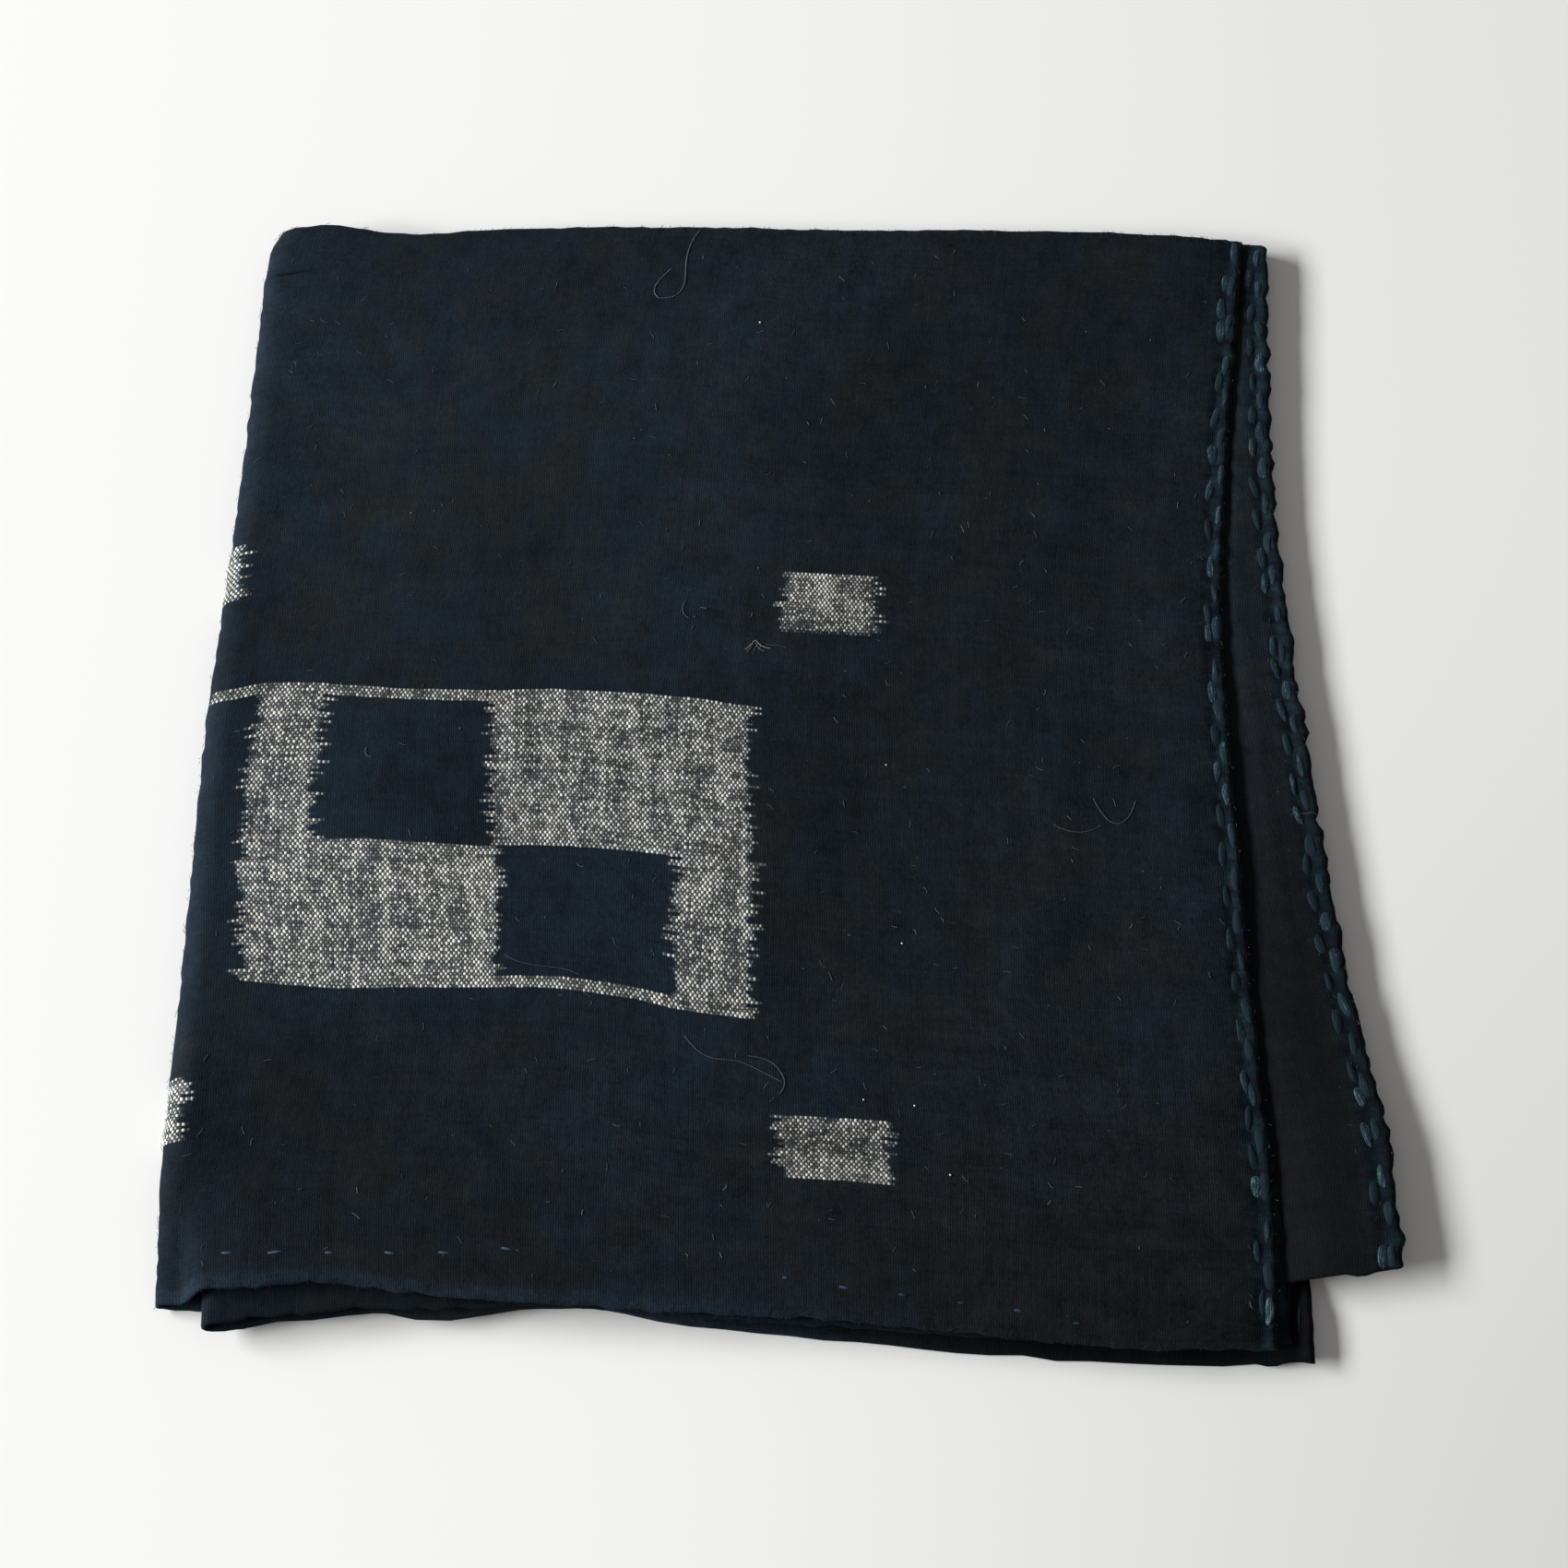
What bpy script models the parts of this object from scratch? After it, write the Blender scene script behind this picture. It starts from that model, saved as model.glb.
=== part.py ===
"""A folded furoshiki: one square of cloth folded in half top over bottom, then in half again, lying flat.

The cloth is one sheet. Across it runs u, from the selvage of the under leaf to the selvage of the top
leaf, and along it runs v, from one hem to the other. Fold one turns about v = 0, the top fold, and fold
two turns about u = 0, the left fold, so four layers lie over each other. From the top they are the top
layer, the second, the third (its corner splayed to the right) and the base layer. Metres, +Z up, +Y
towards the top fold, and the base layer lies flat on z = 0.
"""

import math

import bmesh
import bpy

MM = 0.001

# Driving dimensions
CLOTH_WIDTH = 0.500
CLOTH_LENGTH = 0.570
SHEET_THICK = 0.0010
HEM_THICK = 0.00125
HEM_DEPTH = 0.0105
SELVAGE_TURN = 0.0080
HEM_SLOPE = 0.0030
TURN_PRESS = 0.7
TURN_PRESS_FROM = 0.0040
TURN_PRESS_TO = 0.0120

# Where the folded bundle sits about the origin
SHIFT_ACROSS = 0.0007
SHIFT_ALONG = -0.0002

# The two turns
LEFT_TURN_REACH = 0.0055
INNER_TURN_REACH = 0.0022
TOP_TURN_REACH = 0.0016
TOP_TURN_CLOTH = 0.0042
CORNER_ROUND = 0.0020
CORNER_FADE = 0.0035

# Share of the bundle's height, from the base layer's middle to the top layer's, at which each layer lies
LAYER_LEVEL = {"top": 1.0, "second": 0.665, "third": 0.33, "base": 0.0}

# How far the uncovered right part of the third layer stands off the others, and its corner and the base's
SPLAY_RISE = 0.0008
SPLAY_CORNER_RISE = 0.0012
BASE_CORNER_RISE = 0.0014
BASE_CORNER_START = 0.0980

# Mesh: columns across each leaf and rows along each half, closer together at the hems
FLAT_COLUMNS = 16
FLAT_ROWS = 16
LEFT_TURN_STEPS = 6
TOP_TURN_STEPS = 4
SPREAD_POWER = 1.15
BESIDE_TURN = (0.0025, 0.0055)

# Edges of the layers in plan, in millimetres from the middle, at places from the top fold (0) to the hem (1)
SIDE_COLUMNS = ("place", "fold", "inset", "top", "second", "third", "base")
SIDE_ROWS = (
    (0.00, -133.8, 4.2, 109.2, 108.0, 115.4, 112.6),
    (0.12, -134.2, 5.0, 106.0, 104.5, 114.8, 112.4),
    (0.25, -134.6, 5.6, 102.8, 101.5, 114.6, 112.5),
    (0.38, -135.6, 6.2, 101.0, 99.8, 116.4, 113.0),
    (0.50, -136.7, 7.0, 101.8, 100.5, 119.4, 113.4),
    (0.62, -136.5, 8.0, 103.4, 102.0, 122.6, 113.8),
    (0.75, -136.3, 9.0, 105.3, 104.6, 127.0, 114.3),
    (0.88, -136.3, 10.0, 107.6, 108.6, 133.4, 114.8),
    (1.00, -134.8, 10.8, 107.2, 110.0, 135.4, 115.3),
)

# Top fold and hems in plan, in millimetres, at places from the left fold (0) to the right edge (1)
ENDS_COLUMNS = ("place", "fold", "top", "second", "third", "base")
ENDS_ROWS = (
    (0.00, 141.0, -136.0, -140.8, -141.7, -136.4),
    (0.03, 141.5, -133.8, -139.6, -140.7, -136.8),
    (0.06, 140.7, -133.4, -138.6, -138.9, -137.2),
    (0.10, 139.3, -132.2, -137.6, -138.2, -137.6),
    (0.13, 139.5, -131.9, -136.6, -136.3, -136.8),
    (0.16, 139.9, -132.2, -136.4, -138.2, -136.4),
    (0.20, 140.9, -133.2, -136.2, -138.0, -136.0),
    (0.25, 141.8, -134.2, -135.7, -135.3, -135.0),
    (0.30, 142.6, -134.8, -135.0, -134.7, -134.3),
    (0.36, 142.9, -135.3, -135.4, -134.2, -134.0),
    (0.42, 143.2, -135.9, -136.2, -133.6, -136.3),
    (0.48, 143.3, -136.3, -137.0, -133.0, -137.9),
    (0.60, 143.4, -137.2, -138.2, -131.0, -140.3),
    (0.72, 144.0, -139.2, -139.5, -129.2, -142.3),
    (0.86, 144.0, -141.6, -140.6, -126.6, -143.6),
    (1.00, 142.6, -141.0, -139.2, -122.9, -143.2),
)

# Height of the bundle, in millimetres, from the base layer's middle to the top layer's, by place from the
# top fold to the hem, at the left fold, at the inner fold, further in, in the middle and at the right edge
HEIGHT_COLUMNS = ("place", "left", "inner_fold", "near_left", "middle", "right")
HEIGHT_ROWS = (
    (0.00, 6.4, 6.4, 6.0, 5.5, 5.6),
    (0.10, 7.0, 7.0, 6.5, 5.3, 4.8),
    (0.25, 7.6, 7.5, 6.8, 5.3, 4.5),
    (0.50, 8.2, 8.0, 7.2, 5.3, 4.4),
    (0.75, 8.6, 8.3, 6.9, 5.4, 4.4),
    (0.90, 8.4, 8.1, 7.0, 5.6, 4.5),
    (1.00, 3.0, 7.6, 7.2, 5.8, 4.6),
)
HEIGHT_PLACES = (("left", 0.0), ("inner_fold", 0.02), ("near_left", 0.16), ("middle", 0.55), ("right", 1.0))

# Soft ridges and troughs of the top layers: middle across and along, heading, half length, half width, rise
CREASE_COLUMNS = ("across", "along", "heading", "reach", "spread", "rise")
CREASE_ROWS = (
    (-92.0, 20.0, 84.0, 95.0, 20.0, 0.7),
    (-55.0, 72.0, 28.0, 70.0, 16.0, 0.6),
    (-20.0, -96.0, 12.0, 85.0, 14.0, 0.6),
    (30.0, 10.0, 98.0, 90.0, 22.0, -0.5),
    (52.0, -60.0, 62.0, 60.0, 15.0, 0.5),
    (10.0, 108.0, 4.0, 90.0, 13.0, 0.5),
    (-60.0, -112.0, 3.0, 40.0, 9.0, 0.6),
    (78.0, 40.0, 86.0, 80.0, 10.0, -0.4),
)


def between(rows, columns, name, place):
    """A column of a table at a place, on a smooth curve through its rows."""
    column = columns.index(name)
    last = len(rows) - 1
    step = 0
    while step < last - 1 and rows[step + 1][0] < place:
        step += 1
    before, after = rows[step], rows[step + 1]
    share = (min(max(place, 0.0), 1.0) - before[0]) / (after[0] - before[0])
    slopes = []
    for row in (step, step + 1):
        low, high = rows[max(row - 1, 0)], rows[min(row + 1, last)]
        slopes.append((high[column] - low[column]) / (high[0] - low[0]) * (after[0] - before[0]))
    squared, cubed = share**2, share**3
    return (
        (2 * cubed - 3 * squared + 1) * before[column]
        + (cubed - 2 * squared + share) * slopes[0]
        + (3 * squared - 2 * cubed) * after[column]
        + (cubed - squared) * slopes[1]
    )


def ease(value, low, high):
    """0 below low, 1 above high, and a smooth step between."""
    share = min(max((value - low) / (high - low), 0.0), 1.0)
    return share * share * (3 - 2 * share)


def side(name, place):
    """Where a fold or a right edge lies across, at a place from the top fold to the hem."""
    return between(SIDE_ROWS, SIDE_COLUMNS, name, place) * MM


def end(name, place):
    """Where the top fold or a hem lies along, at a place from the left fold to the right edge."""
    return between(ENDS_ROWS, ENDS_COLUMNS, name, place) * MM


def corner_pull(distance):
    """How far the two folds draw in where they meet at the top left corner."""
    return CORNER_ROUND * math.exp(-distance / CORNER_FADE)


def creases(x, y):
    """Rise of the top layer's soft ridges and troughs."""
    rise = 0.0
    for row in CREASE_ROWS:
        crease = dict(zip(CREASE_COLUMNS, row))
        turn = math.radians(crease["heading"])
        east, north = x / MM - crease["across"], y / MM - crease["along"]
        run = (east * math.cos(turn) + north * math.sin(turn)) / crease["reach"]
        off = (north * math.cos(turn) - east * math.sin(turn)) / crease["spread"]
        rise += crease["rise"] * MM * math.exp(-run * run - off * off)
    return rise


def bundle_height(across, along, x, y):
    """Height from the base layer's middle to the top layer's."""
    rows = [(place, between(HEIGHT_ROWS, HEIGHT_COLUMNS, name, along)) for name, place in HEIGHT_PLACES]
    return between(rows, ("place", "height"), "height", across) * MM + creases(x, y)


def hem_share(u, v):
    """1 in the turned hems and selvages, which the top fold presses flatter, and 0 in the single cloth."""
    from_selvage = CLOTH_WIDTH / 2 - abs(u)
    from_hem = CLOTH_LENGTH / 2 - abs(v)
    pressed = 1 - TURN_PRESS * (1 - ease(abs(v), TURN_PRESS_FROM, TURN_PRESS_TO))
    turned_side = pressed * (1 - ease(from_selvage, SELVAGE_TURN - HEM_SLOPE, SELVAGE_TURN))
    turned_end = 1 - ease(from_hem, HEM_DEPTH - HEM_SLOPE, HEM_DEPTH)
    return max(turned_side, turned_end)


def thickness(u, v):
    return SHEET_THICK + (HEM_THICK - SHEET_THICK) * hem_share(u, v)


def layer_point(layer, u, depth):
    """A point of one layer: depth is its cloth from the top fold, and u runs round the left fold.

    The top and base layers share the outer turn, and the second and third share the inner one.
    """
    outer = layer in ("top", "base")
    upper, lower = ("top", "base") if outer else ("second", "third")
    reach = LEFT_TURN_REACH if outer else INNER_TURN_REACH
    along = depth / (CLOTH_LENGTH / 2 - TOP_TURN_CLOTH / 2)
    fold_x = side("fold", along) + corner_pull(depth)
    outer_straight = fold_x + LEFT_TURN_REACH
    straight = outer_straight if outer else fold_x + side("inset", along) + reach
    first = (straight - outer_straight) / (side("top", along) - outer_straight)
    level_gap = LAYER_LEVEL[upper] - LAYER_LEVEL[lower]
    turn_height = bundle_height(first, along, straight, end("fold", 0.0)) * level_gap / 2
    turn_cloth = math.pi * math.sqrt((turn_height**2 + reach**2) / 2)
    flat_cloth = abs(u) - turn_cloth / 2
    side_name = upper if u > 0 else lower
    across = max(flat_cloth, 0.0) / (CLOTH_WIDTH / 2 - turn_cloth / 2)
    x = straight + across * (side(side_name, along) - straight)
    start = end("fold", across) - corner_pull(abs(u)) - TOP_TURN_REACH
    angle = min(max(u / (turn_cloth / 2), -1.0), 1.0) * math.pi / 2
    upper_share = (1 + math.sin(angle)) / 2
    hem = end(lower, across) + (end(upper, across) - end(lower, across)) * upper_share
    y = start + along * (hem - start)
    base_middle = thickness(u, CLOTH_LENGTH / 2 * along) / 2
    height = bundle_height(first + (1 - first) * across, along, x, y)
    z_upper = base_middle + height * LAYER_LEVEL[upper]
    z_lower = base_middle + height * LAYER_LEVEL[lower]
    if layer == "third" and u < 0:
        rise = SPLAY_RISE + SPLAY_CORNER_RISE * ease(along, 0.78, 0.97)
        beside = side("second", along)
        z_lower += rise * ease(x, beside + 1.5 * MM, beside + 10 * MM)
    if layer == "base" and u < 0:
        z_lower += BASE_CORNER_RISE * ease(along, 0.93, 1.0) * ease(x, BASE_CORNER_START, side("base", along))
    if flat_cloth >= 0:
        return x + SHIFT_ACROSS, y + SHIFT_ALONG, z_upper if u > 0 else z_lower
    z = z_lower + (z_upper - z_lower) * upper_share
    return straight - reach * math.cos(angle) + SHIFT_ACROSS, y + SHIFT_ALONG, z


def folded_point(u, v):
    """Where a point of the flat cloth lies once it is folded."""
    outer, inner = ("top", "second") if u >= 0 else ("base", "third")
    depth = abs(v) - TOP_TURN_CLOTH / 2
    if depth >= 0:
        return layer_point(outer if v < 0 else inner, u, depth)
    first, second = layer_point(outer, u, 0.0), layer_point(inner, u, 0.0)
    angle = -v / (TOP_TURN_CLOTH / 2) * math.pi / 2
    share = (1 + math.sin(angle)) / 2
    x, y, z = (b + (a - b) * share for a, b in zip(first, second))
    return x, y + TOP_TURN_REACH * math.cos(angle), z


def stations(half, turn, turn_steps, flat_steps, hem, beside=()):
    """Lines of the cage on the flat cloth: close together in the turn, beside it and in the hems."""
    edge = turn / 2
    flat = half - hem - edge
    right = [edge + distance for distance in beside]
    right += [edge + flat * (step / flat_steps) ** SPREAD_POWER for step in range(1, flat_steps + 1)]
    right += [half - hem + HEM_SLOPE, half]
    turning = [edge * (2 * step / turn_steps - 1) for step in range(turn_steps + 1)]
    return [-place for place in reversed(right)] + turning + right


def paint(obj, name, colour, roughness):
    material = bpy.data.materials.new(name)
    material.use_nodes = True
    surface = material.node_tree.nodes["Principled BSDF"]
    surface.inputs["Base Color"].default_value = (*colour, 1.0)
    surface.inputs["Roughness"].default_value = roughness
    surface.inputs["Metallic"].default_value = 0.0
    obj.data.materials.append(material)


def build_cloth(collection):
    """The sheet as a grid on the flat cloth, folded, and given its thickness."""
    left_turn = math.pi * LEFT_TURN_REACH
    columns = stations(CLOTH_WIDTH / 2, left_turn, LEFT_TURN_STEPS, FLAT_COLUMNS, SELVAGE_TURN, BESIDE_TURN)
    rows = stations(CLOTH_LENGTH / 2, TOP_TURN_CLOTH, TOP_TURN_STEPS, FLAT_ROWS, HEM_DEPTH)
    mesh = bpy.data.meshes.new("cloth")
    cage = bmesh.new()
    bmesh.ops.create_grid(cage, x_segments=len(columns) - 1, y_segments=len(rows) - 1, size=1.0)
    shares = {}
    for vert in cage.verts:
        column = round((vert.co.x + 1) / 2 * (len(columns) - 1))
        row = round((vert.co.y + 1) / 2 * (len(rows) - 1))
        u, v = columns[column], rows[row]
        vert.co = folded_point(u, v)
        shares[vert.index] = thickness(u, v) / HEM_THICK
    cage.to_mesh(mesh)
    cage.free()
    cloth = bpy.data.objects.new("cloth", mesh)
    collection.objects.link(cloth)
    hems = cloth.vertex_groups.new(name="hems")
    for index, share in shares.items():
        hems.add([index], share, "REPLACE")
    wall = cloth.modifiers.new("thickness", "SOLIDIFY")
    wall.thickness = HEM_THICK
    wall.offset = 0.0
    wall.use_even_offset = True
    wall.vertex_group = "hems"
    mesh.shade_smooth()
    paint(cloth, "indigo_cotton", (0.010, 0.014, 0.024), 0.9)
    return cloth


def main():
    for obj in list(bpy.data.objects):
        bpy.data.objects.remove(obj)
    collection = bpy.data.collections.new("folded_furoshiki")
    bpy.context.scene.collection.children.link(collection)
    build_cloth(collection)


main()
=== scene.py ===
"""A folded furoshiki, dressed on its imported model: the fine woven cloth, its stitching and its loose fibres.

Each piece is made on the flat cloth first. Across it runs u, from the selvage of the under leaf to the
selvage of the top leaf, and along it runs v, from hem to hem. The height off the cloth's face is z. Then
each vertex is folded to its place, so what is sewn on the flat cloth ends where the folded cloth has it.
"""

import math
from functools import reduce
from operator import mul
from types import SimpleNamespace

import bpy
import numpy as np
from bpy.props import FloatProperty, FloatVectorProperty, IntProperty, PointerProperty
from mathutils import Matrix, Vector


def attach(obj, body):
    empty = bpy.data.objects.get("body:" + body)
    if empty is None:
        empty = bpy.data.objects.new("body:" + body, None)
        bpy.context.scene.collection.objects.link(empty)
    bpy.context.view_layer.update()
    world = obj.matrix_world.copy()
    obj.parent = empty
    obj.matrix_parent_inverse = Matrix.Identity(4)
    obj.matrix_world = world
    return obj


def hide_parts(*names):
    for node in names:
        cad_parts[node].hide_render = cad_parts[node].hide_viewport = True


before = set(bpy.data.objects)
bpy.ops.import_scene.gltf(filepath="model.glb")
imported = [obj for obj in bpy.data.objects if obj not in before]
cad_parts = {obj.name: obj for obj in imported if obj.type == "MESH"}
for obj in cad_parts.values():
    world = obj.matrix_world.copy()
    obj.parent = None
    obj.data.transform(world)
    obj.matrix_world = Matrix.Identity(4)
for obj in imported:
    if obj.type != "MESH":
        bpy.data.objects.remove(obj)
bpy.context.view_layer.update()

bl_info = {
    "name": "Folded Furoshiki",
    "version": (1, 0, 0),
    "blender": (4, 5, 0),
    "location": "View3D > Sidebar > Furoshiki",
    "description": "Weaves, folds and sews a furoshiki round its packed model",
    "category": "Object",
}

MM = 0.001

# Construction, as in the part's source
CLOTH_WIDTH = 0.500
CLOTH_LENGTH = 0.570
HALF_WIDTH = CLOTH_WIDTH / 2
HALF_LENGTH = CLOTH_LENGTH / 2
HEM_DEPTH = 0.0105
SELVAGE_TURN = 0.0080
HEM_SLOPE = 0.0030
TURN_PRESS = 0.7
TURN_PRESS_FROM = 0.0040
TURN_PRESS_TO = 0.0120
SHIFT_ACROSS = 0.0007
SHIFT_ALONG = -0.0002
LEFT_TURN_REACH = 0.0055
INNER_TURN_REACH = 0.0022
TOP_TURN_REACH = 0.0016
TOP_TURN_CLOTH = 0.0042
CORNER_ROUND = 0.0020
CORNER_FADE = 0.0035
LAYER_LEVEL = {"top": 1.0, "second": 0.665, "third": 0.33, "base": 0.0}
SPLAY_RISE = 0.0008
SPLAY_CORNER_RISE = 0.0012
BASE_CORNER_RISE = 0.0020
BASE_CORNER_START = 0.1010

# How far the sewn right edges of the two upper layers sink onto the splayed one, which rises to meet them
SPLAY_LIFT = 0.0010
SPLAY_FALL = 0.45
SELVAGE_SINK = {"top": 0.0008, "second": 0.00045}

# Right of the upper layer's edge, where the lower one starts to rise and is fully up, and where it falls back.
# Left of it, where the upper one starts to sink and is fully down.
UNCOVERED_RISE, UNCOVERED_FALL = (0.7 * MM, 3.2 * MM), (4 * MM, 16 * MM)
SINK_FROM, SINK_TO = 12 * MM, MM

# Where along the layers, from the top fold (0) to the hem (1), the corners start to rise and are fully up
BASE_CORNER_SPAN = (0.915, 0.965)
SPLAY_CORNER_SPAN = (0.78, 0.97)

# Turned edges: the rolled ridge outside the stitches, the groove that these press, and the rounded rim
RIDGE_AT, RIDGE_WIDTH = 1.3 * MM, 1.0 * MM
GROOVE_AT, GROOVE_WIDTH, GROOVE_DEPTH = 3.6 * MM, 1.4 * MM, 0.20 * MM
SELVAGE_RIM, HEM_RIM, RIM_SHARE = 0.9 * MM, 0.7 * MM, 0.42
HIDDEN_TURN_PRESS = 0.65

# How far the sewn edges stray. Each wave has its share in millimetres, its size in metres, its seed and how many
# waves it mixes. The selvages of the upper layers, of the splayed one and of the base stray by different amounts.
SELVAGE_WAVES = ((0.17, 0.0040, 21, 7), (0.13, 0.0075, 22, 7), (0.12, 0.0190, 24, 5))
HEM_WAVES = ((0.18, 0.0120, 23, 5), (0.22, 0.0058, 25, 6))
UPPER_STRAY, SPLAYED_STRAY, BASE_STRAY = 1.3, 1.9, 0.4
SELVAGE_FADE, HEM_FADE = 2.2 * MM, 3.0 * MM
CORNER_TUCK = 1.1 * MM

# Small waves of the two folds: how much of the turn's reach, their size and their seed
LEFT_RIPPLE = (0.035, 0.0062, 26)
TOP_RIPPLE = (0.12, 0.0062, 27)

# Lines of the mesh beside the selvages and the hems, in millimetres from the edge
SELVAGE_LINES = (0.0, 0.45, 1.2, 2.2, 3.4, 4.8, 6.4, 8.0, 10.0, 12.4)
HEM_LINES = (0.0, 0.4, 1.1, 2.4, 4.4, 6.6, 8.8, 10.6, 12.2, 14.0)
PUCKERED = 6.4 * MM
LEFT_TURN_STEPS, TOP_TURN_STEPS = 7, 3
INNER_ROWS_SHARE = 0.78
LOWEST = 0.00001

# Edges of the layers in plan, in millimetres, at places from the top fold (0) to the hem (1)
SIDE_COLUMNS = ("place", "fold", "inset", "top", "second", "third", "base")
SIDE_ROWS = (
    (0.00, -133.8, 4.2, 109.2, 108.0, 115.4, 112.6),
    (0.12, -134.2, 5.0, 106.0, 104.5, 114.8, 112.4),
    (0.25, -134.6, 5.6, 102.8, 101.5, 114.6, 112.5),
    (0.38, -135.6, 6.2, 101.0, 99.8, 116.4, 113.0),
    (0.50, -136.7, 7.0, 101.8, 100.5, 119.4, 113.4),
    (0.62, -136.5, 8.0, 103.4, 102.0, 122.6, 113.8),
    (0.75, -136.3, 9.0, 105.3, 104.6, 127.0, 114.3),
    (0.88, -136.3, 10.0, 107.6, 108.6, 133.4, 114.8),
    (1.00, -134.8, 10.8, 107.2, 110.0, 135.4, 115.3),
)

# Top fold and hems in plan, in millimetres, at places from the left fold (0) to the right edge (1)
ENDS_COLUMNS = ("place", "fold", "top", "second", "third", "base")
ENDS_ROWS = (
    (0.00, 141.0, -136.0, -140.8, -141.7, -136.4),
    (0.03, 141.5, -133.8, -139.6, -140.7, -136.8),
    (0.06, 140.7, -133.4, -138.6, -138.9, -137.2),
    (0.10, 139.3, -132.2, -137.6, -138.2, -137.6),
    (0.13, 139.5, -131.9, -136.6, -136.3, -136.8),
    (0.16, 139.9, -132.2, -136.4, -138.2, -136.4),
    (0.20, 140.9, -133.2, -136.2, -138.0, -136.0),
    (0.25, 141.8, -134.2, -135.7, -135.3, -135.0),
    (0.30, 142.6, -134.8, -135.0, -134.7, -134.3),
    (0.36, 142.9, -135.3, -135.4, -134.2, -134.0),
    (0.42, 143.2, -135.9, -136.2, -133.6, -136.3),
    (0.48, 143.3, -136.3, -137.0, -133.0, -137.9),
    (0.60, 143.4, -137.2, -138.2, -131.0, -140.3),
    (0.72, 144.0, -139.2, -139.5, -129.2, -142.3),
    (0.86, 144.0, -141.6, -140.6, -126.6, -143.6),
    (1.00, 142.6, -141.0, -139.2, -122.9, -143.2),
)

# Height of the bundle, in millimetres, by place from the top fold to the hem
HEIGHT_COLUMNS = ("place", "left", "inner_fold", "near_left", "middle", "right")
HEIGHT_ROWS = (
    (0.00, 6.4, 6.4, 6.0, 5.5, 5.6),
    (0.10, 7.0, 7.0, 6.5, 5.3, 4.8),
    (0.25, 7.6, 7.5, 6.8, 5.3, 4.5),
    (0.50, 8.2, 8.0, 7.2, 5.3, 4.4),
    (0.75, 8.6, 8.3, 6.9, 5.4, 4.4),
    (0.90, 8.4, 8.1, 7.0, 5.6, 4.5),
    (1.00, 3.0, 7.6, 7.2, 5.8, 4.6),
)
HEIGHT_PLACES = {"left": 0.0, "inner_fold": 0.02, "near_left": 0.16, "middle": 0.55, "right": 1.0}

# Soft ridges and troughs of the layers: middle across and along, heading, half length, half width, rise.
# The first eight are the part's own, and the rest are finer ones that only the looks have.
CREASE_COLUMNS = ("across", "along", "heading", "reach", "spread", "rise")
CREASE_ROWS = (
    (-92.0, 20.0, 84.0, 95.0, 20.0, 0.7),
    (-55.0, 72.0, 28.0, 70.0, 16.0, 0.6),
    (-20.0, -96.0, 12.0, 85.0, 14.0, 0.6),
    (30.0, 10.0, 98.0, 90.0, 22.0, -0.5),
    (52.0, -60.0, 62.0, 60.0, 15.0, 0.5),
    (10.0, 108.0, 4.0, 90.0, 13.0, 0.5),
    (-60.0, -112.0, 3.0, 40.0, 9.0, 0.6),
    (78.0, 40.0, 86.0, 80.0, 10.0, -0.4),
    (-118.0, 118.0, 52.0, 16.0, 3.5, 0.25),
    (-126.0, 101.0, 8.0, 9.0, 2.0, -0.45),
    (84.0, 100.0, 80.0, 34.0, 6.0, 0.22),
    (60.0, 62.0, 74.0, 46.0, 7.0, 0.16),
    (-10.0, 60.0, 88.0, 60.0, 9.0, 0.18),
    (70.0, -40.0, 84.0, 55.0, 8.0, -0.18),
    (24.0, -118.0, 6.0, 60.0, 5.0, 0.20),
    (88.0, -98.0, 70.0, 30.0, 5.0, 0.22),
    (120.0, -70.7, 0.0, 9.0, 0.8, 0.7),
    (-128.5, 126.2, -3.0, 6.0, 0.9, -0.5),
)

# How far the picks stray from a straight line, in millimetres, at places across the cloth: at the squares'
# lower line, middle and upper line
BOW_COLUMNS = ("place", "low", "middle", "top")
BOW_ROWS = (
    (-250.0, 1.5, 1.5, 1.5),
    (-120.0, 1.5, 1.5, 1.5),
    (-20.0, -0.2, -0.2, 0.2),
    (3.5, -0.4, -0.3, 0.4),
    (14.0, -0.6, -0.3, 0.9),
    (27.5, -2.0, 0.1, 1.8),
    (40.0, -2.9, 0.2, 0.7),
    (58.0, -0.9, 0.2, 0.4),
    (72.0, -0.1, 0.2, 0.9),
    (86.0, 0.3, 0.7, 1.8),
    (104.0, -0.9, 0.2, 1.4),
    (120.0, -3.3, -1.0, 0.5),
    (135.0, -4.6, -1.4, -1.1),
    (165.0, -4.8, -3.0, -1.6),
    (250.0, -5.0, -5.0, -3.0),
)

# Where the squares' lower line lies on the flat cloth, how far the upper one is from it, and the middle's share
BOW_LOW, BOW_SPAN, BOW_MIDDLE = -0.2104, 0.0754, 0.477

# The chart of the woven squares, in millimetres from their middle: where white begins and ends on a pick
CHART_MIDDLE = (73.5, -174.5)
CHART_REPEAT = 300.0
UPPER_ENDS = (-59.4, -43.3, -2.4, 60.2)
LOWER_ENDS = (-60.4, -0.2, 42.0, 60.8)
LINE_PICKS = 1.5
SQUARE_PICKS = {"upper": 38.0, "lower": 34.4}

# The white spots at the corners: middle across and along, half width and half length
SPOTS = (
    (78.6, 68.9, 12.6, 8.1),
    (79.0, -67.0, 12.8, 8.4),
    (-79.4, 71.9, 12.8, 8.0),
    (-81.0, -66.0, 12.0, 7.6),
)

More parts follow.
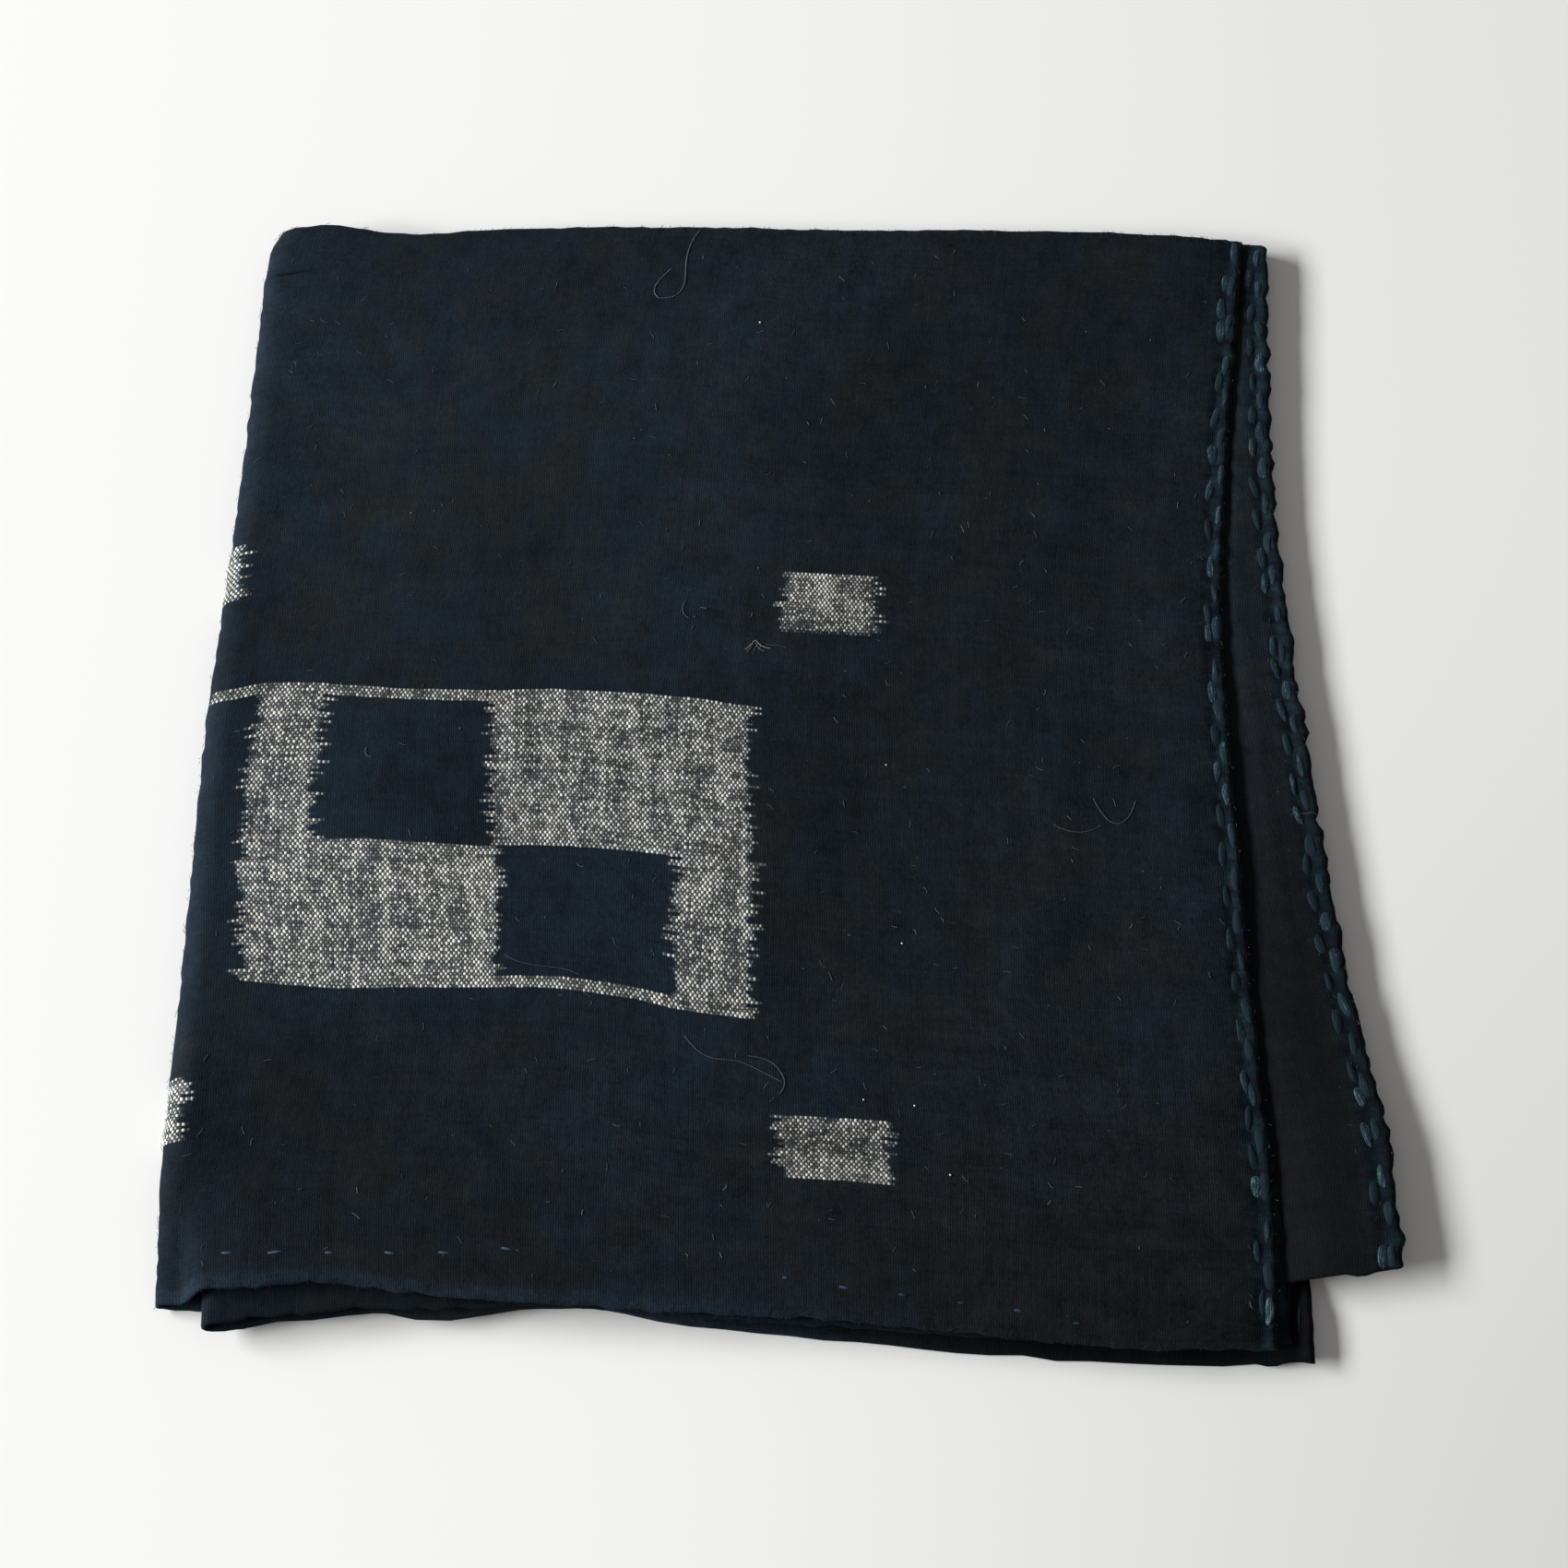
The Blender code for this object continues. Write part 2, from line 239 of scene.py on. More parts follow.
# Areas of the flat cloth where the colour differs, in millimetres: their own dye or undyed weft, and in some
# of them painted light and shade. Each limit of an area has its axis, the middle from which distance counts
# (None where the place itself counts), and where the area starts and where it is full.
AREAS = {
    "squares": (("along", -174.5, 52.0, 30.0), ("across", 72.0, 66.0, 40.0)),
    "fold": (("across", 0.0, 30.0, 3.0),),
    "selvage": (("across", 0.0, 243.5, 246.5),),
    "hem": (("along", None, -280.6, -283.4), ("across", None, 190.0, 80.0)),
    "base": (("across", None, -100.0, -200.0), ("along", None, 0.0, -10.0)),
    "sewn": (("across", 0.0, 242.2, 246.0),),
    "splayed": (("across", None, -60.0, -160.0), ("along", None, 100.0, 190.0)),
    "corner": (("across", None, 120.0, 215.0), ("along", None, -190.0, -265.0)),
    "notch": (("across", None, 15.0, 9.0), ("along", -16.0, 0.7, 0.1), ("across", None, 2.0, 6.0)),
    "turned": (("across", 0.0, 24.0, 4.0),),
    "below": (("along", None, 262.0, 268.0), ("across", None, -60.0, -20.0)),
    "centre": (("across", 85.0, 85.0, 20.0), ("along", -85.0, 70.0, 20.0)),
    "low_left": (("across", None, 65.0, 15.0), ("along", None, -110.0, -170.0), ("along", None, -258.0, -215.0)),
    "lit": (("across", None, 165.0, 55.0), ("along", None, -250.0, -120.0)),
    "spots": (("across", 73.5, 63.5, 65.5),),
    "washed": (("across", None, 90.0, 60.0), ("along", None, -165.0, -185.0)),
    "faint": (("across", None, 105.0, 122.0), ("along", None, -168.0, -180.0)),
}

# How the threads wobble: features to a metre, and by how many threads
END_WOBBLE = ((160.0, 1.1), (800.0, 0.55))
PICK_WOBBLE = ((130.0, 0.9), (700.0, 0.50))

# Shades of the dyes and threads, besides those in the settings. The base layer's dark grey is painted shade, and
# the threads' light tints are painted highlights.
DYE_BLACK, DYE_BLUE = (0.0080, 0.0091, 0.0097), (0.0050, 0.0089, 0.0142)
SEWN_DARK, SEWN_BLUE = (0.0060, 0.0086, 0.0155), (0.0050, 0.0132, 0.0165)
BASE_SHADE_COLOUR = (0.0064, 0.0068, 0.0068)
SEEPED_DYE = (0.12, 0.18, 0.24)
BLUE_HIGHLIGHT, BLUE_DEEP = (0.080, 0.132, 0.150), (0.0050, 0.0115, 0.0165)
PALE_HIGHLIGHT, PALE_DEEP = (0.070, 0.140, 0.170), (0.010, 0.018, 0.030)
LINT_DARK, LINT_GREY, LINT_CREAM = (0.008, 0.012, 0.017), (0.11, 0.12, 0.13), (0.60, 0.56, 0.50)

# Running stitches: distance of a leaf's two rows from its selvage, in millimetres.
# On part of the base they are narrowed, half hidden, and painted their darkest as painted shade.
SELVAGE_ROWS = {"top leaf": (1.9, 3.7), "under leaf": (2.6, 4.6)}

# The palest of these stitches: across and along on the flat cloth, and tone
PALE_STITCHES = (
    (248.0, -4.0, 0.62),
    (247.0, -13.4, 0.66),
    (245.5, -20.9, 0.62),
    (247.0, -27.3, 0.60),
    (246.5, -72.5, 0.78),
    (245.5, -111.2, 0.70),
    (246.0, -224.0, 0.66),
    (244.0, -248.3, 1.00),
    (248.0, -276.6, 0.92),
    (-246.5, 14.9, 0.66),
    (-245.5, 63.6, 0.74),
    (-244.5, 103.3, 0.70),
    (-245.0, 121.2, 0.66),
    (-246.0, 168.3, 0.80),
    (-246.0, 241.8, 0.84),
    (-245.5, 251.2, 0.70),
    (-246.5, 261.7, 0.80),
    (-246.0, 281.5, 0.74),
    (246.0, 262.0, 0.80),
    (243.0, 278.0, 0.90),
)

# Height of a running stitch, and how far the first and the last stay from the hems
STITCH_HEIGHT = 0.46 * MM
FIRST_STITCH, LAST_STITCH = 5.0 * MM, 3.0 * MM

# How far a stitch arches and how deep its ends sink, and the place along the cloth below which the base's
# stitches are narrowed and painted their darkest, as painted shade
STITCH_ARCH, STITCH_SINK = 0.16 * MM, 0.13 * MM
PAINTED_SHADE_BELOW = -0.150

# Hem stitches: their distance from the hem, and those that show, by place across and along, length and tone.
# One shows on the other hem.
HEM_ROW = 7.7
HEM_STITCHES = (
    (17.0, -277.1, 2.8, 0.82),
    (27.5, -277.6, 3.4, 0.90),
    (39.5, -278.0, 2.2, 0.70),
    (53.0, -276.6, 2.6, 0.86),
    (65.0, -275.1, 2.9, 0.84),
    (79.0, -273.1, 2.6, 0.62),
    (141.0, -276.1, 1.8, 0.34),
    (154.0, -277.6, 2.6, 0.46),
    (167.0, -278.0, 2.2, 0.32),
    (180.0, -278.5, 1.9, 0.30),
    (192.5, -279.0, 2.2, 0.42),
    (205.5, -280.5, 2.0, 0.32),
)
OTHER_HEM_STITCHES = ((-236.0, 278.0, 2.4, 0.30),)

# Stray threads and hairs that lie on the folded cloth: thickness and tone, then places on the flat cloth, in
# millimetres
STRAYS = (
    (0.10, 0.62, ((110.5, -0.5), (109.0, -4.0), (108.0, -11.9), (109.5, -18.0), (107.0, -22.8),
                  (102.5, -22.4))),
    (0.10, 0.62, ((102.5, -22.4), (99.6, -20.0), (102.0, -17.0), (105.0, -13.4))),
    (0.16, 0.66, ((131.8, -121.4), (133.0, -120.4), (134.2, -118.0), (134.9, -119.8),
                  (136.4, -120.6), (138.0, -120.8))),
    (0.10, 0.58, ((132.4, -122.0), (133.4, -120.0), (134.6, -118.6), (134.8, -121.0), (136.6, -121.6))),
    (0.07, 0.46, ((133.8, -122.4), (134.2, -120.4), (135.4, -118.8), (136.0, -120.0), (135.0, -121.4))),
    (0.07, 0.46, ((136.8, -119.6), (138.6, -120.2), (140.6, -119.4), (142.0, -120.6))),
    (0.09, 0.50, ((216.0, -155.9), (218.0, -160.4), (220.5, -162.3), (223.0, -161.6),
                  (225.0, -159.2), (226.0, -156.0))),
    (0.08, 0.46, ((206.0, -163.0), (210.0, -165.4), (214.0, -165.0), (217.5, -162.4))),
    (0.09, 0.50, ((118.5, -220.5), (121.5, -224.8), (126.0, -226.2), (131.0, -225.6),
                  (136.0, -228.4), (140.5, -230.6))),
    (0.09, 0.56, ((133.0, -224.8), (137.5, -225.0), (140.5, -227.6), (142.0, -231.4), (140.0, -233.6))),
    (0.09, 0.36, ((76.5, -202.6), (79.0, -204.4), (85.0, -205.4), (91.0, -205.2), (94.0, -206.8))),
    (0.10, 0.58, ((41.5, -151.2), (40.8, -152.6), (42.0, -154.2), (43.0, -153.4))),
    (0.09, 0.48, ((116.4, -108.6), (115.2, -110.4), (115.8, -112.6), (117.4, -113.4))),
    (0.09, 0.40, ((-249.4, 26.3), (-250.4, 27.0), (-251.6, 26.6))),
    (0.09, 0.40, ((-243.5, 168.3), (-245.0, 167.2), (-246.6, 168.6), (-248.6, 167.4), (-250.6, 168.8))),
)

# Small flecks on the top layer: place on the flat cloth, size and tone
FLECKS = (
    (129.0, -29.3, 0.52, 0.98),
    (166.5, -150.0, 0.40, 0.95),
    (169.0, -195.1, 0.44, 1.00),
    (178.0, -249.7, 0.48, 0.85),
    (159.0, -233.9, 0.42, 0.95),
    (170.5, -234.4, 0.42, 0.95),
    (46.0, -86.0, 0.30, 0.75),
    (100.0, -64.0, 0.28, 0.60),
    (63.5, -145.0, 0.26, 0.70),
    (134.0, -99.0, 0.28, 0.60),
    (212.0, -30.0, 0.26, 0.60),
)

# Short hairs: how many lie on the top leaf, on the splayed strip, along the selvages and round the top leaf
TOP_HAIRS, STRIP_HAIRS, SELVAGE_HAIRS, ROUND_HAIRS = 430, 90, 240, 600

# The stage: key light, sky and camera
KEY_PLACE, KEY_SIZE, KEY_COLOUR = (-4.40, 0.07, 1.69), (4.0, 0.93), (0.99, 1.0, 0.995)
SKY_COLOUR = (1.0, 0.985, 0.94, 1.0)
FLOOR_SIZE, FLOOR_DROP = 8.0, 0.00002
CAMERA_PLACE, CAMERA_TARGET = (0.00624, -0.33858, 0.71016), (-0.00120, -0.01077, 0.0070)


def length_field(name, description, default, low, high, precision=5):
    """A length, for a group of settings."""
    return FloatProperty(
        name=name,
        description=description,
        default=default,
        min=low,
        max=high,
        precision=precision,
        subtype="DISTANCE",
        unit="LENGTH",
    )


def colour_field(name, description, default):
    """A colour, for a group of settings."""
    return FloatVectorProperty(
        name=name, description=description, default=default, min=0.0, max=1.0, subtype="COLOR", size=3
    )


def number_field(name, description, default, low, high=10000.0, unit="NONE"):
    """A plain number, for a group of settings."""
    return FloatProperty(name=name, description=description, default=default, min=low, max=high, unit=unit)


class ClothSettings(bpy.types.PropertyGroup):
    """Sizes of the cloth as it is seen."""

    sheet: length_field("Sheet", "Thickness of the single cloth", 0.0007, 0.0003, 0.0015)
    hem: length_field("Hem", "Thickness of the turned hems and selvages", 0.00086, 0.0005, 0.0018)
    ridge: length_field("Selvage ridge", "Extra thickness of the edge outside the stitches", 0.00022, 0.0, 0.0008)
    columns: IntProperty(
        name="Columns", description="Columns of the mesh on the leaf that shows", default=96, min=20, max=160
    )
    rows: IntProperty(
        name="Rows", description="Rows of the mesh on the half that shows", default=116, min=20, max=200
    )


class WeaveSettings(bpy.types.PropertyGroup):
    """Threads and dyes."""

    ends_per_cm: number_field("Ends per cm", "Warp threads in a centimetre of width", 18.0, 8.0, 40.0)
    picks_per_cm: number_field("Picks per cm", "Weft threads in a centimetre of length", 13.5, 8.0, 40.0)
    indigo: colour_field("Indigo", "Colour of the dyed cloth", (0.0061, 0.0090, 0.0117))
    worn: colour_field("Worn indigo", "Colour of the dyed cloth where folds have rubbed", (0.0115, 0.0210, 0.0340))
    white: colour_field("Undyed weft", "Colour of the weft that was kept out of the dye", (0.72, 0.71, 0.665))


class StitchSettings(bpy.types.PropertyGroup):
    """Sewing threads."""

    length: length_field("Stitch length", "Length of a running stitch along the selvage", 0.0064, 0.002, 0.010, 4)
    width: length_field("Stitch width", "Width of the thick thread", 0.00205, 0.0005, 0.003, 4)
    pitch: length_field("Stitch pitch", "From one stitch of a row to the next", 0.0106, 0.005, 0.020, 4)
    hem_pitch: length_field("Hem stitch pitch", "From one hem stitch to the next", 0.0125, 0.005, 0.030, 4)
    blue: colour_field("Blue thread", "Colour of the thick thread", (0.0088, 0.0208, 0.0300))
    pale: colour_field("Pale thread", "Colour of the fine thread in the hems", (0.0340, 0.0680, 0.1120))


class StageSettings(bpy.types.PropertyGroup):
    """Floor, light and camera."""

    floor: colour_field("Floor", "Colour of the plain floor", (0.80, 0.80, 0.80))
    key: number_field("Key light", "Power of the large soft light", 594.0, 0.0, unit="POWER")
    sky: number_field("Sky light", "Strength of the light from all round", 0.25, 0.0)
    lens: number_field("Lens", "Focal length of the camera", 77.22, 10.0, unit="CAMERA")


# Folding


def smooth(places, values, place):
    """Values at an array of places, on a smooth curve through rows of values, which may be arrays too."""
    places = np.asarray(places, float)
    place = np.clip(place, 0.0, 1.0)
    values = np.array([np.broadcast_to(value, place.shape) for value in values])
    last = len(places) - 1
    slopes = np.empty_like(values)
    for row in range(last + 1):
        low, high = max(row - 1, 0), min(row + 1, last)
        slopes[row] = (values[high] - values[low]) / (places[high] - places[low])
    step = np.searchsorted(places[1:-1], place)
    span = places[step + 1] - places[step]
    share = (place - places[step]) / span

    def at(rows, index):
        return np.take_along_axis(rows, index[None], 0)[0]

    squared, cubed = share**2, share**3
    return (
        (2 * cubed - 3 * squared + 1) * at(values, step)
        + (cubed - 2 * squared + share) * at(slopes, step) * span
        + (3 * squared - 2 * cubed) * at(values, step + 1)
        + (cubed - squared) * at(slopes, step + 1) * span
    )


def column(rows, columns, name):
    return [row[columns.index(name)] for row in rows]


def table_curve(rows, columns, name, place):
    """A column of one of the tables, on a smooth curve through its places."""
    return smooth(column(rows, columns, "place"), column(rows, columns, name), place)


def ease(value, low, high):
    """0 below low, 1 above high, and a smooth step between."""
    share = np.clip((value - low) / (high - low), 0.0, 1.0)
    return share * share * (3 - 2 * share)


def hump(value, middle, width):
    """1 at the middle, and a smooth fall to 0 on both sides."""
    return np.exp(-(((value - middle) / width) ** 2))


def side(name, place):
    """Where a fold or a right edge lies across, at places from the top fold to the hem."""
    return table_curve(SIDE_ROWS, SIDE_COLUMNS, name, place) * MM


def end(name, place):
    """Where the top fold or a hem lies along, at places from the left fold to the right edge."""
    return table_curve(ENDS_ROWS, ENDS_COLUMNS, name, place) * MM


def corner_pull(distance):
    """How far the two folds draw in where they meet at the top left corner."""
    return CORNER_ROUND * np.exp(-distance / CORNER_FADE)


def swell(x, y, size, seed, waves=8):
    """A soft uneven surface about zero: waves of about one size that run all ways."""
    draw = np.random.default_rng(seed)
    total = 0.0
    for _ in range(waves):
        heading, phase, length = draw.uniform(0, math.tau, 2).tolist() + [size * draw.uniform(0.7, 1.5)]
        total = total + np.sin((x * math.cos(heading) + y * math.sin(heading)) * math.tau / length + phase)
    return total / math.sqrt(waves)


def creases(x, y):
    """Rise of the soft ridges and troughs."""
    rise = 0.10 * MM * swell(x, y, 0.036, 3) + 0.045 * MM * swell(x, y, 0.013, 4)
    for row in CREASE_ROWS:
        crease = dict(zip(CREASE_COLUMNS, row))
        turn = math.radians(crease["heading"])
        east, north = x / MM - crease["across"], y / MM - crease["along"]
        run = (east * math.cos(turn) + north * math.sin(turn)) / crease["reach"]
        off = (north * math.cos(turn) - east * math.sin(turn)) / crease["spread"]
        rise = rise + crease["rise"] * MM * np.exp(-run * run - off * off)
    return rise


def bundle_height(across, along, x, y):
    """Height from the base layer's middle to the top layer's."""
    rows = [table_curve(HEIGHT_ROWS, HEIGHT_COLUMNS, name, along) for name in HEIGHT_PLACES]
    return smooth(list(HEIGHT_PLACES.values()), rows, across) * MM + creases(x, y)


def from_edges(u, v):
    """How far points of the flat cloth are from the nearer selvage and from the nearer hem."""
    return np.maximum(HALF_WIDTH - np.abs(u), 0.0), np.maximum(HALF_LENGTH - np.abs(v), 0.0)


def thickness(u, v):
    """Thickness of the cloth as it is seen, with its turned edges and the rolled ridge outside the stitches."""
    cloth = bpy.context.scene.furoshiki_cloth
    from_selvage, from_hem = from_edges(u, v)
    pressed = 1 - TURN_PRESS * (1 - ease(np.abs(v), TURN_PRESS_FROM, TURN_PRESS_TO))
    pressed = pressed * (1 - HIDDEN_TURN_PRESS * ease(v, 0.0, TURN_PRESS_TO) * (u > 0))
    turned_side = pressed * (1 - ease(from_selvage, SELVAGE_TURN - HEM_SLOPE, SELVAGE_TURN))
    turned_end = 1 - ease(from_hem, HEM_DEPTH - HEM_SLOPE, HEM_DEPTH)
    ridge = pressed * hump(from_selvage, RIDGE_AT, RIDGE_WIDTH) * (1 + 0.50 * swell(v, u * 0.2, 0.0046, 11))
    groove = GROOVE_DEPTH * (1 + 0.5 * swell(v, u * 0.3, 0.0052, 12))
    groove = groove * pressed * hump(from_selvage, GROOVE_AT, GROOVE_WIDTH)
    full = cloth.sheet + (cloth.hem - cloth.sheet) * np.maximum(turned_side, turned_end)
    full = full + cloth.ridge * ridge - groove
    rim = np.minimum(np.minimum(from_selvage / SELVAGE_RIM, from_hem / HEM_RIM), 1.0)
    return full * (RIM_SHARE + (1 - RIM_SHARE) * np.sqrt(rim))


def waves(rows, place):
    """Soft waves along an edge."""
    return sum(share * swell(place, 0.0, size, seed, number) for share, size, seed, number in rows)


def wander(u, v):
    """How the sewn edges stray from a straight line, across and along, where the thread draws them in."""
    from_selvage, from_hem = from_edges(u, v)
    stray = np.where(u > 0, UPPER_STRAY, np.where(v > 0, SPLAYED_STRAY, BASE_STRAY))
    corner = CORNER_TUCK * np.exp(-(from_selvage + from_hem) / SELVAGE_FADE) * ((u < 0) & (v > 0))
    across = MM * stray * waves(SELVAGE_WAVES, v) * np.exp(-from_selvage / SELVAGE_FADE)
    along = MM * waves(HEM_WAVES, u) * np.exp(-from_hem / HEM_FADE)
    return across - corner, along + corner


def ripple(place, share, size, seed):
    """How a fold's reach swells and shrinks along it."""
    return 1 + share * swell(place, 0.0, size, seed)


def raised(lower, x, along, edge):
    """How far a lower layer stands off where the upper one leaves it uncovered, right of that one's edge."""
    if lower == "base":
        corner = ease(x, BASE_CORNER_START, side("base", along))
        return BASE_CORNER_RISE * ease(along, *BASE_CORNER_SPAN) * corner
    rise = SPLAY_RISE + SPLAY_CORNER_RISE * ease(along, *SPLAY_CORNER_SPAN)
    start, full = UNCOVERED_FALL
    rise = rise + SPLAY_LIFT * (1 - SPLAY_FALL * ease(x, edge + start, edge + full))
    start, full = UNCOVERED_RISE
    return rise * ease(x, edge + start, edge + full)


def lay(pair, u, depth):
    """Points of the two layers of one pair, which share a turn: depth is their cloth from the top fold."""
    upper, lower = pair
    outer = upper == "top"
    reach = LEFT_TURN_REACH if outer else INNER_TURN_REACH
    along = depth / (HALF_LENGTH - TOP_TURN_CLOTH / 2)
    fold_x = side("fold", along) + corner_pull(depth)
    outer_straight = fold_x + LEFT_TURN_REACH
    straight = outer_straight if outer else fold_x + side("inset", along) + reach
    first = (straight - outer_straight) / (side("top", along) - outer_straight)
    level_gap = LAYER_LEVEL[upper] - LAYER_LEVEL[lower]
    turn_height = bundle_height(first, along, straight, end("fold", np.zeros_like(u))) * level_gap / 2
    turn_cloth = math.pi * np.sqrt((turn_height**2 + reach**2) / 2)
    flat_cloth = np.abs(u) - turn_cloth / 2
    on_upper = u > 0
    across = np.maximum(flat_cloth, 0.0) / (HALF_WIDTH - turn_cloth / 2)
    x = straight + across * (np.where(on_upper, side(upper, along), side(lower, along)) - straight)
    angle = np.clip(u / (turn_cloth / 2), -1.0, 1.0) * math.pi / 2
    upper_share = (1 + np.sin(angle)) / 2
    start = end("fold", across) - corner_pull(np.abs(u)) - TOP_TURN_REACH
    hem = end(lower, across) + (end(upper, across) - end(lower, across)) * upper_share
    y = start + along * (hem - start)
    place = HALF_LENGTH * along * (-1 if outer else 1)
    base_middle = thickness(u, place) / 2
    height = bundle_height(first + (1 - first) * across, along, x, y)
    edge = side(upper, along)
    sink = SELVAGE_SINK[upper] * ease(x, edge - SINK_FROM, edge - SINK_TO)
    z_upper = base_middle + height * LAYER_LEVEL[upper] - sink
    z_lower = base_middle + height * LAYER_LEVEL[lower] + np.where(on_upper, 0.0, raised(lower, x, along, edge))
    stray_x, stray_y = wander(u, place)
    turn_x = straight - reach * np.cos(angle) * ripple(place, *LEFT_RIPPLE)
    turn_z = z_lower + (z_upper - z_lower) * upper_share
    flat = flat_cloth >= 0
    return np.array(
        (
            np.where(flat, x + stray_x, turn_x) + SHIFT_ACROSS,
            y + stray_y + SHIFT_ALONG,
            np.where(flat, np.where(on_upper, z_upper, z_lower), turn_z),
        )
    )


def folded(u, v):
    """Where points of the flat cloth's middle lie once it is folded."""
    depth = np.abs(v) - TOP_TURN_CLOTH / 2
    outer = lay(("top", "base"), u, np.maximum(depth, 0.0))
    inner = lay(("second", "third"), u, np.maximum(depth, 0.0))
    angle = np.clip(-v / (TOP_TURN_CLOTH / 2), -1.0, 1.0) * math.pi / 2
    turning = inner + (outer - inner) * (1 + np.sin(angle)) / 2
    turning[1] += TOP_TURN_REACH * np.cos(angle) * ripple(u, *TOP_RIPPLE)
    return np.where(depth >= 0, np.where(v < 0, outer, inner), turning)


def facing(u, v, step=0.0004):
    """Unit normals of the folded cloth's face: up on the top layer."""
    east = folded(u + step, v) - folded(u - step, v)
    north = folded(u, v + step) - folded(u, v - step)
    normal = np.cross(east.T, north.T)
    return (normal / np.linalg.norm(normal, axis=1)[:, None]).T


def place_on_cloth(piece, u, v, away):
    """Moves a piece's points to the folded cloth, at heights off its middle. None goes below the floor."""
    points = folded(u, v) + facing(u, v) * away
    points[2] = np.maximum(points[2], LOWEST)
    place_points(piece, points.T)


def fold_piece(piece):
    """Moves a piece that was made on the flat cloth to the folded one: its z is its height off the face."""
    u, v, z = points_of(piece).T
    place_on_cloth(piece, u, v, np.sign(z) * (thickness(u, v) / 2) + z)


# Meshes


def points_of(piece):
    points = np.empty(len(piece.data.vertices) * 3, np.float32)
    piece.data.vertices.foreach_get("co", points)
    return points.reshape(-1, 3).astype(float)


def place_points(piece, points):
    piece.data.vertices.foreach_set("co", np.ascontiguousarray(points, np.float32).ravel())
    piece.data.update()


def deselect():
    if bpy.context.object and bpy.context.object.mode != "OBJECT":
        bpy.ops.object.mode_set(mode="OBJECT")
    bpy.ops.object.select_all(action="DESELECT")


def pick(piece):
    """Selects one piece alone, for the next operator."""
    deselect()
    piece.select_set(True)
    bpy.context.view_layer.objects.active = piece


def start_piece(name):
    """Names the primitive that was just added."""
    piece = bpy.context.object
    piece.name = name
    piece.data.name = name
    return piece


def select_faces(piece, chosen):
    """Selects the faces that a list of true and false marks, for the next edit-mode operator."""
    bpy.ops.object.mode_set(mode="EDIT")
    bpy.ops.mesh.select_mode(type="FACE")
    bpy.ops.mesh.select_all(action="DESELECT")
    bpy.ops.object.mode_set(mode="OBJECT")
    piece.data.polygons.foreach_set("select", chosen)
    bpy.ops.object.mode_set(mode="EDIT")


def apply_modifier(piece, name, kind, **settings):
    modifier = piece.modifiers.new(name, kind)
    for key, value in settings.items():
        setattr(modifier, key, value)
    pick(piece)
    bpy.ops.object.modifier_apply(modifier=name)


def apply_place(piece):
    pick(piece)
    bpy.ops.object.transform_apply(location=True, rotation=True, scale=True)


def face_outwards(piece):
    pick(piece)
    bpy.ops.object.mode_set(mode="EDIT")
    bpy.ops.mesh.select_all(action="SELECT")
    bpy.ops.mesh.normals_make_consistent(inside=False)
    bpy.ops.object.mode_set(mode="OBJECT")


def shade_smooth(piece):
    pick(piece)
    bpy.ops.object.shade_smooth()


def give(piece, finish):
    piece.data.materials.clear()
    piece.data.materials.append(finish)
    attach(piece, "root")


def write_tone(piece, tones):
    """One number to each vertex, which the thread's finish reads as how much it fades and how strong its painted
    highlights are.
    """
    layer = piece.data.attributes.new("tone", "FLOAT", "POINT")
    layer.data.foreach_set("value", np.asarray(tones, np.float32))


# Finishes


def operation(kind, swapped=False):
    """A method of Value that adds one Math node, with its two values swapped where the other one comes first."""

    def method(self, other=0.0):
        return self.finish.maths(kind, *((other, self) if swapped else (self, other)))

    return method


class Value:
    """A number at each point of a finish. Sums on it add Math nodes."""

    __add__ = __radd__ = operation("ADD")
    __mul__ = __rmul__ = operation("MULTIPLY")
    __sub__, __rsub__ = operation("SUBTRACT"), operation("SUBTRACT", swapped=True)
    __truediv__, __pow__ = operation("DIVIDE"), operation("POWER")
    floor, size, root, wave = (operation(kind) for kind in ("FLOOR", "ABSOLUTE", "SQRT", "SINE"))

    def __init__(self, finish, socket):
        self.finish = finish
        self.socket = socket

    def rise(self, low, high):
        """0 at low, 1 at high, and a smooth step between. It falls where low is above high."""
        if low > high:
            return 1 - self.rise(high, low)
        sockets = {"Value": self, "From Min": low, "From Max": high, "To Min": 0.0, "To Max": 1.0}
        made = self.finish.node("ShaderNodeMapRange", {"interpolation_type": "SMOOTHSTEP"}, sockets)
        return Value(self.finish, made.outputs["Result"])


